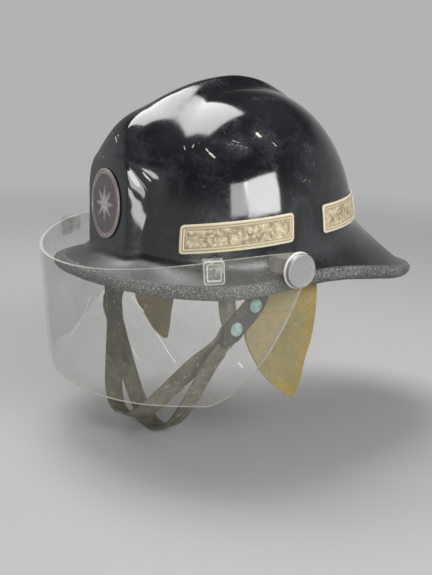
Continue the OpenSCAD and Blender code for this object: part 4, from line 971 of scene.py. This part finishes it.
def visorGrid(rows, cols):
    end = 90 + math.degrees(math.atan((visorEnd - visorCentre) / visorX))
    k = np.linspace(-1, 1, 2 * cols + 1)
    a = np.sign(k) * end * (1 - (1 - np.abs(k)) ** visor["crowding"])
    y = visorPlan(a, 0)[:, 1]
    high, low = visorHigh(y), visorLow(y)
    heights = [mix(low, high, u) for u in np.linspace(0, 1, rows)]
    return np.array([np.c_[visorPlan(a, (high - z) / (visor["top"] - visor["low"])), z] for z in heights])


addPiece("visorSheet", sheetMesh(visorGrid(visor["rows"], visor["columns"])),
         [paints["visor"], paints["visorEdge"], paints["visorInside"]], "visor", "visor_clear", ["visor"],
         thick=visor["thickness"], rimPaint=True, rounding=visor["rounding"], sharp=35)
print("visor done")


# Raised plates: rings drawn in from an outline, each with its height
def roundedRect(width, height, corner, side=24, bow=6):
    c = max(min(corner, width / 2 - 0.01, height / 2 - 0.01), 0.02)
    w, h = width / 2 - c, height / 2 - c
    ring = []
    for k, (sx, sy) in enumerate(((1, 1), (-1, 1), (-1, -1), (1, -1))):
        a = np.radians(90 * k + np.linspace(0, 90, bow))
        ring += list(np.c_[sx * w + c * np.cos(a), sy * h + c * np.sin(a)])
        nx, ny = ((-1, 1), (-1, -1), (1, -1), (1, 1))[k]
        turned = math.radians(90 * k + 90)
        stop = np.array((nx * w + c * math.cos(turned), ny * h + c * math.sin(turned)))
        count = side if k % 2 == 0 else max(3, side // 4)
        last = ring[-1]
        ring += [last + (stop - last) * u for u in np.linspace(0, 1, count + 1)[1:-1]]
    return np.array(ring)


fullInset = 8.0  # the distance in from the edge that is 1 on the UV map


def platePiece(name, ringOf, steps, place, **how):  # steps are a distance in from the edge and a height
    rings = [place(ringOf(inset), height) for inset, height in steps]
    mesh = closedMesh(rings, "face", "face")
    share = np.repeat([inset for inset, height in steps], len(rings[0]))
    addUv(mesh, "faceShare", np.c_[share / fullInset, 0 * share])
    addPiece(name, mesh, **how)


markers = dict(height=23, corner=3, gap=0.6,
               ends={"side": ((38.5, 38), (86, 49)), "rear": ((103, 53), (143.5, 59.5))},
               steps=[(0, 0), (0, 0.75), (0.35, 1.15), (1.5, 1.25), (1.8, 0.8), (2.3, 0.75), (2.6, 1.15), (3.3, 1.2),
                      (3.7, 0.55), (4.4, 0.5), (6.5, 0.62), (9, 0.66), (11.2, 0.66)])


def makeMarker(place, hand, side):
    (a0, z0), (a1, z1) = markers["ends"][place]
    start, end = (skin(np.array(float(a)), np.array(float(z))) for a, z in markers["ends"][place])
    length = float(np.linalg.norm(end - start))

    def outlineAt(inset):
        return roundedRect(length - 2 * inset, markers["height"] - 2 * inset, markers["corner"] - inset * 0.6)

    def onDome(ring, height):
        u = ring[:, 0] / length + 0.5
        return skin(mix(a0, a1, u), mix(z0, z1, u) + ring[:, 1], markers["gap"] + height) * [side, 1, 1]

    platePiece(f"marker_{place}_{hand}_face", outlineAt, markers["steps"], onDome, paints=paints["marker"],
               body="helmet", slot="marker_cream", stands=[f"marker_{place}_{hand}"], sharp=35)


for place in markers["ends"]:
    for hand, side in (("left", 1), ("right", -1)):
        makeMarker(place, hand, side)
print("markers done")


# Badge: a plain star on an oval with a reeded edge
badge = dict(width=48, height=58, z=59, gap=0.6, relief=0.72, points=8, rays=(8.5, 17.5), rayFall=5, boss=6.2,
             ring=7.2, starShare=0.8, starFade=0.06, top=2.2, turns=192, rings=44, reeds=96, reedAt=0.9)


def panelY(x, z):
    s = domeShare(z)
    y = dome["poleBack"] * (1 - s) - s * dome["front"] * (
        1 - (np.abs(x) / s / dome["halfWidth"]) ** dome["planPower"]) ** (1 / dome["planPower"])
    return y - ridgeLift(np.stack([x, y, z], -1))[0]


def onPanel(x, z, out):
    return np.stack([x, panelY(x, z) - out, z], -1)


def starHeight(u, a):  # rays that fall away to both sides, on a domed centre
    w, h = badge["width"] / 2, badge["height"] / 2
    x, y = u * w * np.sin(a), u * h * np.cos(a)
    r, t = np.hypot(x, y), np.arctan2(x, y)
    wave = np.abs((t * badge["points"] / (2 * np.pi)) % 1 - 0.5) * 2
    reach = mix(*badge["rays"], wave ** 1.6)
    ray = np.clip((reach - r) / badge["rayFall"], 0, 1) * (0.55 + 0.45 * np.clip(wave, 0, 1))
    boss = np.sqrt(np.clip(1 - (r / badge["boss"]) ** 2, 0, 1)) * 0.9
    ring = np.exp(-((r - badge["ring"]) / 0.5) ** 2) * 0.35
    return 0.75 * ray + boss + ring


def badgeFace():
    turn = np.radians(np.arange(badge["turns"]) * 360 / badge["turns"])
    shares = np.r_[1, 1, 0.985, 0.965, 0.95, 0.94, 0.915, 0.885, 0.87, 0.86, 0.835, 0.82,
                   np.linspace(badge["starShare"], 0.03, badge["rings"])]
    heights = np.r_[0, 0.9, 1.5, 1.75, 1.75, 1.25, 1.15, 1.15, 1.6, 1.6, 1.1, 1.0, np.full(badge["rings"], 0.95)]
    rings, levels = [], []
    for u, h in zip(shares, heights):
        inStar = (u < badge["starShare"] + 0.01) * ease((badge["starShare"] - u) / badge["starFade"])
        star = starHeight(u, turn) * inStar
        levels.append((h + star) / badge["top"])
        x, z = u * badge["width"] / 2 * np.sin(turn), badge["z"] + u * badge["height"] / 2 * np.cos(turn)
        rings.append(onPanel(x, z, badge["gap"] + (h + star) * badge["relief"]))
    mesh = closedMesh(rings, "face", "face")
    level = np.ravel(levels)
    addUv(mesh, "relief", np.c_[level, 0 * level])
    return mesh


addPiece("badgePlate", badgeFace(), paints["badge"], "helmet", "pewter", ["badge"], sharp=50)
turn = np.radians(np.arange(badge["reeds"]) * 360 / badge["reeds"])
reedPoints = onPanel(badge["reedAt"] * badge["width"] / 2 * np.sin(turn),
                     badge["z"] + badge["reedAt"] * badge["height"] / 2 * np.cos(turn), badge["gap"] + 0.8)
rivets("badgeReeds", reedPoints, np.stack([np.sin(turn), 0 * turn, np.cos(turn)], -1), paints["pewter"], "pewter",
       head=0.62, height=1.35, shank=0.3, length=0.5)
pinHeights = [badge["z"] - badge["height"] / 4, badge["z"] + badge["height"] / 4]
pins = [[0, float(panelY(np.array(0.0), np.array(z))) + 8, z] for z in pinHeights]
rivets("badgePins", pins, [[0, 1, 0]] * 2, paints["steel"], "steel", head=1.5, height=0.6, shank=1.5, length=8)
print("badge done")


# Knobs and their washers
knob = dict(face=141.95, back=137.95, radius=13.5, washer=(136.05, 137.65), washerRadius=14.5, hole=3.05, bore=2.8)


def knobProfile():
    r, back, face, bore = knob["radius"], knob["back"], knob["face"], knob["bore"]
    return [(0, back + bore), (knob["hole"], back + bore), (knob["hole"], back), (r - 0.7, back),
            (r - 0.2, back + 0.15), (r, back + 0.5), (r, face - 1.0), (r - 0.15, face - 0.55),
            (r - 0.5, face - 0.18), (r - 1.0, face - 0.02), (r - 1.5, face), (r - 2.1, face - 0.1),
            (r * 0.5, face - 0.1), (1.2, face - 0.08), (0, face - 0.08)]


def washerProfile():
    r, (back, face) = knob["washerRadius"], knob["washer"]
    return [(knob["hole"], back), (r - 0.5, back), (r - 0.12, back + 0.15), (r, back + 0.5), (r, face - 0.5),
            (r - 0.12, face - 0.15), (r - 0.5, face), (knob["hole"], face)]


at = (pivot["y"], pivot["z"])
for hand, side in (("left", 1), ("right", -1)):
    addPiece(f"knob_{hand}_turned", lathe(knobProfile(), at, side, 128), paints["alloy"], f"knob_{hand}",
             "light_alloy", [f"knob_{hand}"], sharp=28)
    addPiece(f"washer_{hand}_disc", lathe(washerProfile(), at, side, 96), paints["washer"], "helmet", "cream_plastic",
             [f"knob_washer_{hand}"], sharp=35)
print("knobs done")


# Clips on the visor's upper edge
clip = dict(angle=66, width=16, plate=2.2, pad=5, drop=16.5, hook=0.7, cap=1.2, corner=2.2,
            room=visor["thickness"] / 2 + 1, seat=0.5)


def clipFrame(side):
    a = clip["angle"]
    p, ahead = visorPlan(np.array(a), 0), visorPlan(np.array(a + 1.0), 0) - visorPlan(np.array(a - 1.0), 0)
    climb = float(visorHigh(p[1] + ahead[1] / 2) - visorHigh(p[1] - ahead[1] / 2))
    outwards = np.array([ahead[1], -ahead[0]]) / np.linalg.norm(ahead)
    lean = float((p - visorPlan(np.array(a), 1)) @ outwards) / (visor["top"] - visor["low"])
    turn = Matrix.Rotation(math.atan2(ahead[1], ahead[0]) - math.pi / 2, 4, "Z")
    turn = turn @ Matrix.Rotation(math.atan(lean), 4, "Y")
    turn = turn @ Matrix.Rotation(math.atan(climb / np.linalg.norm(ahead)) / 2, 4, "X")
    m = Matrix.Translation((p[0], p[1], float(visorHigh(p[1])))) @ turn
    return lambda q: (np.c_[np.asarray(q), np.ones(len(q))] @ np.array(m).T)[:, :3] * [side, 1, 1]


def makeClip(hand, side):
    toPlace = clipFrame(side)
    room, plate, top = clip["room"], clip["plate"], clip["seat"] + clip["cap"]
    tall, middle = clip["drop"] + top, (top - clip["drop"]) / 2
    steps = [(0, 0), (0, plate - 0.6), (0.25, plate - 0.15), (0.7, plate), (2.5, plate), (2.9, plate - 0.25),
             (3.4, plate - 1.3), (5.2, plate - 1.5), (6.6, plate - 1.3)]

    def outlineAt(inset):
        return roundedRect(clip["width"] - 2 * inset, tall - 2 * inset, clip["corner"] - inset * 0.3, 8)

    def onVisor(ring, height):
        return toPlace(np.c_[room + height + 0 * ring[:, 0], ring[:, 0], ring[:, 1] + middle])

    platePiece(f"clip_{hand}_plate", outlineAt, steps, onVisor, paints=paints["clip"], body="visor",
               slot="clip_clear", stands=[f"visor_clip_{hand}"], sharp=35)
    w = clip["width"] / 2 - 0.4
    back, low = -room - clip["pad"], -clip["drop"] * clip["hook"]
    section = [(room + 0.4, top - 0.3), (back + 0.6, top - 0.3), (back, top - 0.9), (back, low + 0.8),
               (back + 0.8, low), (-room, low), (-room, clip["seat"]), (room + 0.4, clip["seat"])]
    rings = [toPlace(np.c_[[x for x, z in section], [w * s] * len(section), [z for x, z in section]])
             for s in (-1, -0.5, 0, 0.5, 1)]
    addPiece(f"clip_{hand}_hook", closedMesh(rings, "face", "face"), paints["clip"], "visor", "clip_clear",
             rounding=0.5, sharp=35)


makeClip("left", 1)
makeClip("right", -1)
print("clips done")


# Leather: flaps and their hinges, tabs, straps and the studs that hold them
strap = dict(thick=2.2, width=19, underWidth=17, tabWidth=20, branchWidth=16, tabTop=102.7, tabX=99.1, branchX=96.3,
             branchTop=88.29, branchY=-54.09, chinX=93.8, underX=96.3, rounding=0.6, steps=10, across=9)
studUp, studLow = (pivot["y"] - 12.1, pivot["z"] - 34.8), (pivot["y"] - 30.3, pivot["z"] - 52.2)
stud = dict(radius=5.75, cap=2.6, inset=1.4)
flap = dict(hingeX=100.5, hingeZ=18, thick=2.2, frontY=-36, rearY=24, length=117, rows=80, columns=40, waves=(0.5, 9),
            edges=[[0, -13, 19], [12, -17.5, 24.5], [24, -22.5, 26.5], [36, -27.5, 24], [48, -32.5, 22],
                   [60, -35.8, 21.4], [70, -32.3, 21], [82, -26.3, 18.2], [94, -19, 15], [106, -8, 12.5],
                   [117, 5, 9.5]])
hinge = dict(thick=1.8, rounding=0.4, frontY=-11, rearY=15, low=0.8, high=12)


def flapGrid(side):
    rowsOf = along(np.array(flap["edges"], float), np.linspace(0, 1, flap["rows"]))
    drop, front, rear = (rowsOf[:, k][:, None] for k in range(3))
    fade = ease((drop - 8) / 20) * ease((flap["length"] - drop) / 20)
    front = front + 0.8 * np.sin(drop / 6.5) * fade
    rear = rear + 0.7 * np.sin(drop / 8 + 1) * fade
    y = mix(front, rear, np.linspace(0, 1, flap["columns"]))
    w = np.clip((y - flap["frontY"]) / (flap["rearY"] - flap["frontY"]), 0, 1)
    ripple = 0.9 * np.sin(drop / 9 + y / 14 + 2) * ease((drop - 15) / 30)
    x = flap["hingeX"] + (16 * w * w + 3 * w - 10) * ease(drop / 50) + ripple
    return np.stack([side * x, y, flap["hingeZ"] - drop + 0 * y], -1)


def acrossWidth(line, across, width, share):  # a strap's grid, from its middle line and its share of the full width
    return np.array([line + across * (s * width / 2) * share[:, None] for s in np.linspace(-1, 1, strap["across"])])


def sideStrap(path, width, tip):
    path = np.array(path, float)
    n, steps = strap["steps"] * (len(path) - 1), strap["steps"]
    p = along(path, np.linspace(0, 1, n + 1))
    share = np.ones(n + 1)
    share[-steps:] = mix(1, tip, ease(np.linspace(0.1, 1, steps)) ** 1.3)
    return acrossWidth(p, unit(np.cross(np.gradient(p, axis=0), [1.0, 0, 0])), width, share)


def chinLoop(half, start, direction, x, width):  # half the loop, as shares of x and lengths along the direction
    half, direction = np.array(half, float), np.array(direction, float)
    p = along(half, np.linspace(0, 1, strap["steps"] * (len(half) - 1) + 1))
    full = np.r_[p, (p * [-1, 1])[-2::-1]]
    k = np.arange(len(full))
    share = mix(0.6, 1, ease(np.minimum(k, len(full) - 1 - k) / strap["steps"]))
    line = np.c_[full[:, 0] * x, np.full(len(full), start[0]), np.full(len(full), start[1])] + direction * full[:, 1:]
    return acrossWidth(line, unit(np.cross(direction, [1.0, 0, 0])), width, share)


def strapPiece(name, grid, paint, body, slot, node):
    addPiece(name, sheetMesh(grid), paint, body, slot, [node], thick=strap["thick"], rounding=strap["rounding"])


def studProfile(inX):  # from its inner head at inX to its domed cap outside the tab
    r, c, capX = stud["radius"], stud["cap"], strap["tabX"] + strap["thick"] / 2 + 0.3
    return [(0, inX - 1.2), (r - 1.2, inX - 1.2), (r - 1, inX - 0.9), (r - 1, inX), (2, inX), (2, capX),
            (r - 0.3, capX), (r, capX + 0.4), (r, capX + 1.0), (r - 0.5, capX + 1.7), (r - 1.3, capX + 2.1),
            (r - 2.0, capX + 1.9), (r - 3.0, capX + 2.3), (r * 0.25, capX + c), (0, capX + c)]


def flapAndHinge(hand, side):
    grid = flapGrid(side)
    amount, size = flap["waves"]  # soft waves of old leather
    grid = grid + gridNormal(grid) * (wobble(grid, size, side) * amount)[..., None]
    addPiece(f"flap_{hand}_leather", sheetMesh(grid), paints["tan"], f"ear_flap_{hand}", "tan_leather",
             [f"ear_flap_{hand}"], thick=flap["thick"], rounding=strap["rounding"])
    y, z = np.meshgrid(np.linspace(hinge["frontY"], hinge["rearY"], 14),
                       np.linspace(flap["hingeZ"] + hinge["low"], flap["hingeZ"] + hinge["high"], 8))
    addPiece(f"hinge_{hand}_leather", sheetMesh(np.stack([side * (flap["hingeX"] + 0 * y), y, z], -1)), paints["tan"],
             "helmet", "tan_leather", [f"flap_hinge_{hand}"], thick=hinge["thick"], rounding=hinge["rounding"])


def sideStraps(hand, side):
    mirror = np.array([side, 1, 1])
    (y0, z0), tabTop, tabX = (pivot["y"], pivot["z"]), strap["tabTop"], strap["tabX"]
    tab = sideStrap([[tabTop, y0, z0 + 9], [tabTop, y0, z0], [tabTop, y0 - 1, z0 - 9], [tabX + 0.6, y0 - 6, z0 - 20],
                     [tabX, *studUp], [tabX, *studLow], [tabX, studLow[0] - 11, studLow[1] - 14]],
                    strap["tabWidth"], 0.2)
    strapPiece(f"tab_{hand}_leather", tab * mirror, paints["dark"], "helmet", "dark_leather", f"stud_tab_{hand}")
    y, topX, lowX = strap["branchY"], strap["branchTop"], strap["branchX"]
    branch = sideStrap([[topX, y, 29], [topX, y, 17], [(topX + lowX) / 2, y - 3, (19 + studLow[1]) / 2],
                        [lowX, studLow[0] - 5, studLow[1] + 12], [lowX, *studLow],
                        [lowX, studLow[0] + 4, studLow[1] - 8]], strap["branchWidth"], 0.7)
    strapPiece(f"branch_{hand}_leather", branch * mirror, paints["strap"], "helmet", "strap_leather",
               f"strap_branch_{hand}")
    upper = lathe(studProfile(strap["tabX"] - stud["inset"]), studUp, side, 56)
    lower = lathe(studProfile(strap["chinX"] - stud["inset"]), studLow, side, 56)
    addPiece(f"studs_{hand}_upper", upper, paints["verdigris"], "helmet", "stud_green",
             [f"press_studs_{hand}"], sharp=35)
    addPiece(f"studs_{hand}_lower", lower, paints["verdigris"], "helmet", "stud_green", sharp=35)


for hand, side in (("left", 1), ("right", -1)):
    flapAndHinge(hand, side)
    sideStraps(hand, side)
chin = chinLoop([[1, -7], [1, 5], [0.98, 14], [0.9, 23], [0.75, 38], [0.62, 55], [0.49, 72], [0.35, 89], [0.18, 102],
                 [0, 106]], studLow, (0, -0.42, -0.907), strap["chinX"], strap["width"])
under = chinLoop([[1, -2], [0.925, 10], [0.81, 24], [0.69, 42], [0.56, 60], [0.42, 77], [0.27, 90],
                  [0.13, 97], [0, 99]], (studLow[0] - 10, studLow[1] - 14), (0, -0.02, -1),
                 strap["underX"], strap["underWidth"])
strapPiece("chinStrapLeather", chin, paints["strap"], "chin_strap", "strap_leather", "chin_strap")
strapPiece("underChinLeather", under, paints["strap"], "chin_strap", "strap_leather", "under_chin_strap")
print("leather done")


# Harness: headband, ring, crown tapes and their rivets
head = dict(halfWidth=78, halfLength=99, y=4.5, bandZ=12, bandHeight=34, bandThick=2, seamIn=3, ringZ=22,
            ringHeight=18, ringGap=2.2, ringThick=2.2, tapeGap=2.2, crown=130, tapeWidth=20, tapeThick=1.3,
            tapeLayer=1.1, tapeRound=0.14)
ringOff = head["bandThick"] + head["ringGap"]
ringOut = ringOff + head["ringThick"]
tapeOut = ringOut + head["tapeGap"]
tapeZ = head["ringZ"] + 2
rivetZ = tapeZ + 7
turns = np.arange(180) * 2.0


def bandPoint(t, z, off):
    a = np.radians(t)
    x, y = (head["halfWidth"] + off) * np.sin(a), head["y"] - (head["halfLength"] + off) * np.cos(a)
    return np.stack([x, y, z + 0 * a], -1)


def bandOutward(t):
    a = np.radians(t)
    x, y = (head["halfLength"] + ringOut) * np.sin(a), -(head["halfWidth"] + ringOut) * np.cos(a)
    return unit(np.stack([x, y, 0 * a], -1))


def bandMesh(low, height, off, thick, roll=0.5):
    high = low + height
    section = ((low + roll, 0), (low, roll), (low, thick - roll), (low + roll, thick), (high - roll, thick),
               (high, thick - roll), (high, roll), (high - roll, 0))
    return closedMesh([bandPoint(turns, z, off + out) for z, out in section], wrapRows=True)


addPiece("headbandLeather", bandMesh(head["bandZ"], head["bandHeight"], 0, head["bandThick"], 0.7), paints["brown"],
         "helmet", "brown_leather", ["headband"])
for k, z in enumerate((head["bandZ"] + head["seamIn"], head["bandZ"] + head["bandHeight"] - head["seamIn"])):
    stitches(f"bandStitches{k}", bandPoint(turns, z, 0.05), paints["thread"], "brown_leather")
addPiece("harnessRing", bandMesh(head["ringZ"], head["ringHeight"], ringOff, head["ringThick"]), paints["black"],
         "helmet", "dark_plastic", ["harness_ring"])


def tapeGrid(t, layer):  # up one side, over the crown in its own layer, and down the other
    a = bandPoint(np.array(float(t)), 0, tapeOut)
    r, turn = math.hypot(a[0], a[1] - head["y"]), math.atan2(a[1] - head["y"], a[0])
    top = head["crown"] + layer * (head["tapeThick"] + head["tapeLayer"])
    f = np.radians(np.linspace(0, 90, 40))
    over = np.c_[r * np.cos(f) * (1 - head["tapeRound"] * np.sin(2 * f)), mix(tapeZ + 14, top, np.sin(f))]
    line = np.r_[[[r, tapeZ], [r, tapeZ + 5], [r, tapeZ + 10]], over]
    line = np.r_[line, (line * [-1, 1])[-2::-1]]
    s = np.linspace(1, -1, 7)[:, None] * head["tapeWidth"] / 2
    x, y, z = line[:, 0] + 0 * s, 0 * line[:, 0] + s, line[:, 1] + 0 * s
    c, n = math.cos(turn), math.sin(turn)
    return np.stack([x * c - y * n, head["y"] + x * n + y * c, z], -1)


tapes = {"crown_tape_fore_aft": (0, 0), "crown_tape_lateral": (90, 1), "crown_tape_left_front": (62, 2),
         "crown_tape_right_front": (298, 3)}
for name, (t, layer) in tapes.items():
    addPiece(name + "_web", sheetMesh(tapeGrid(t, layer)), paints["tape"], "helmet", "tape_web", [name],
             thick=head["tapeThick"], rounding=0.3)
tapeEnds = [a for t, layer in tapes.values() for a in (t, (t + 180) % 360)]
ends = np.array(tapeEnds + [38, 142, 218, 322], float)  # the last four hold the ring alone
facing = bandOutward(ends)
throughTape, throughRing = head["ringThick"] + head["tapeThick"] + 3.6, head["ringThick"] + 1
reach = np.array([throughTape] * len(tapeEnds) + [throughRing] * 4)
base = bandPoint(ends, rivetZ, 0) + facing * (ringOff - 0.5)
outerHeads = (base + facing * reach[:, None])[:len(tapeEnds)]
rivets("harnessRivetsInner", base, -facing, paints["brass"], "aged_brass", ["harness_rivets"], height=1.0, length=5)
rivets("harnessRivetsOuter", outerHeads, facing[:len(tapeEnds)], paints["brass"], "aged_brass", height=1.0, length=5)

# Liner in the crown
liner = dict(low=88, thick=9, gap=1.0, rows=24)
outside = -dome["wall"] - liner["gap"]
linerRings = []
for out, order in ((outside - liner["thick"], -1), (outside, 1)):
    climb = [math.sin(math.radians(90 * k / liner["rows"])) for k in range(liner["rows"])]
    linerRings += [skin(turns, mix(liner["low"], dome["top"] + out, u) + 0 * turns, out) for u in climb][::order]
tips = [[0, dome["poleBack"], dome["top"] + out] for out in (outside - liner["thick"], outside)]
addPiece("linerCap", closedMesh(linerRings, *tips), paints["liner"], "helmet", "liner_foam", ["impact_liner"])

# Nape strap behind the headband, and the rivets of the flap hinges and the strap branches
nape = dict(drop=9, height=15, thick=1.8, fromAngle=128, toAngle=232, gap=1.35)
napeZ = head["bandZ"] - nape["drop"]
t, z = np.meshgrid(np.linspace(nape["fromAngle"], nape["toAngle"], 50), np.linspace(napeZ + nape["height"], napeZ, 7))
addPiece("napeLeather", sheetMesh(bandPoint(t, z, head["bandThick"] + nape["gap"])), paints["brown"], "helmet",
         "brown_leather", ["nape_strap"], thick=nape["thick"], rounding=0.4)
inwards = [[-1, 0, 0]] * 2 + [[1, 0, 0]] * 2
flapRivets = [[side * (flap["hingeX"] - 1.15), y, flap["hingeZ"] + 7] for side in (1, -1) for y in (-4, 8)]
rivets("flapRivetHeads", flapRivets, inwards, paints["brass"], "aged_brass", ["flap_rivets"], height=1.0, length=4)
branchRivets = [[side * (strap["branchTop"] - 1.6), strap["branchY"] + y, pivot["z"] + 3.5]
                for side in (1, -1) for y in (-4, 4)]
rivets("branchRivetHeads", branchRivets, inwards, paints["brass"], "aged_brass", ["branch_rivets"], height=1.0,
       length=4)
print("harness done")


# CAD nodes that stay, with their finishes
stay = {"black": ["harness_anchors", "flap_hanger_left", "flap_hanger_right", "branch_anchor_left",
                  "branch_anchor_right", "pivot_pad_left", "pivot_pad_right"],
        "steel": ["pivot_screw_left", "pivot_screw_right", "badge_retainers"],
        "brass": ["nape_buckle"],
        "spacer": ["visor_spacer_left", "visor_spacer_right"]}
for paint, names in stay.items():
    for name in names:
        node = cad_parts[name]
        node.data.materials.clear()
        node.data.materials.append(paints[paint])


# Studio: a floor that fades into the air, a dim roof and soft lamps
studio = dict(floor=(0.45, 0.45, 0.45), air=(0.45, 0.45, 0.455), roof=0.045, fill=0.2, gap=0.5, size=40,
              fade=(0.4, 2.2), roofFade=(0.2, 0.62), aim=(0, 0, 0.04))


def seenRays(tree):  # 1 for what the camera sees, also in gloss and through clear pieces
    rays = tree.node("ShaderNodeLightPath", out="Is Camera Ray")
    return rays | rays.other("Is Glossy Ray") | rays.other("Is Transmission Ray")


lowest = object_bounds()[0][2]
bpy.ops.mesh.primitive_plane_add(size=studio["size"], location=(0, 0, 0))
floor = bpy.context.object
floor.name = "floor"
floor.data.transform(Matrix.Translation((0, 0, lowest - studio["gap"] * mm)))
ground = Paint("paleFloor")
far = ground.node("ShaderNodeVectorMath", {"operation": "LENGTH"}, {0: ground.place}, "Value")
matt = ground.node("ShaderNodeBsdfPrincipled", None,
                   {"Base Color": (*studio["floor"], 1), "Roughness": 0.85, "Specular IOR Level": 0.1})
haze = ground.node("ShaderNodeEmission", None, {"Color": (*studio["air"], 1), "Strength": seenRays(ground)})
both = ground.node("ShaderNodeMixShader", None, {0: ground.step(far, *studio["fade"]), 1: matt, 2: haze})
ground.node("ShaderNodeOutputMaterial", None, {"Surface": both})
floor.data.materials.append(ground.material)

world = bpy.data.worlds.new("studioAir")
scene.world = world
world.use_nodes = True
air = Tree(world.node_tree)
seen = seenRays(air)
height = air.node("ShaderNodeSeparateXYZ", None, {0: air.node("ShaderNodeTexCoord", out="Generated")}).other("Z")
low, high = studio["roofFade"]
sky = air.node("ShaderNodeMapRange", {"interpolation_type": "SMOOTHSTEP"},
               {0: height, 1: low, 2: high, 3: 1.0, 4: studio["roof"] / studio["air"][0]})
strength = sky * seen + (1 - seen) * (studio["fill"] / studio["air"][0])
light = air.node("ShaderNodeBackground", None, {"Color": (*studio["air"], 1), "Strength": strength})
air.node("ShaderNodeOutputWorld", None, {"Surface": light})


def lightFrom(azimuth, elevation, distance):  # a place given by its direction from the front
    a, e = math.radians(azimuth), math.radians(elevation)
    return Vector((math.sin(a) * math.cos(e), -math.cos(a) * math.cos(e), math.sin(e))) * distance


softBoxes = {  # azimuth from the front, elevation, distance, width, height, radiance
    "overheadBox": (-80, 66, 1.6, 0.95, 1.25, 6.4),
    "sideWindow": (98, 27, 1.7, 0.88, 0.72, 9.5),
    "sideFlag": (74, 27, 1.75, 0.45, 0.66, 5.0),
    "frontWindow": (50, 4, 1.8, 1.0, 0.38, 6.0)}
for name, (azimuth, elevation, distance, width, height, glow) in softBoxes.items():
    data = bpy.data.lights.new(name, "AREA")
    data.shape, data.size, data.size_y, data.energy = "RECTANGLE", width, height, glow * math.pi * width * height
    lamp = bpy.data.objects.new(name, data)
    lamp.location = lightFrom(azimuth, elevation, distance)
    lamp.rotation_mode = "QUATERNION"
    lamp.rotation_quaternion = (Vector(studio["aim"]) - lamp.location).to_track_quat("-Z", "Y")
    scene.collection.objects.link(lamp)
print("studio done")


# Camera: the focal length and the centre are in pixels of the photograph's frame
view = dict(azimuth=55, pitch=10, roll=3.4, focal=850, distance=779.8, centre=(219, 262), frame=(432, 575))
a, p, q = math.radians(view["azimuth"]), math.radians(view["pitch"]), math.radians(view["roll"])
right = Vector((math.cos(a), math.sin(a), 0))
back = Vector((math.sin(a) * math.cos(p), -math.cos(a) * math.cos(p), math.sin(p)))
upward = back.cross(right)
roll = Matrix(((math.cos(q), 0, -math.sin(q)), (0, 1, 0), (math.sin(q), 0, math.cos(q))))
right, back, upward = roll @ right, roll @ back, roll @ upward
offX, offY = (view["centre"][k] - view["frame"][k] / 2 for k in (0, 1))
lens = bpy.data.cameras.new("photoCamera")
lens.sensor_width, lens.lens = 36, view["focal"] / view["frame"][1] * 36
lens.clip_start, lens.clip_end = 0.05, 50
camera = bpy.data.objects.new("photoCamera", lens)
camera.matrix_world = Matrix((right, upward, back)).transposed().to_4x4()
camera.location = (back - right * offX / view["focal"] + upward * offY / view["focal"]) * view["distance"] * mm
scene.collection.objects.link(camera)
scene.camera = camera

scene.view_settings.view_transform = "Standard"
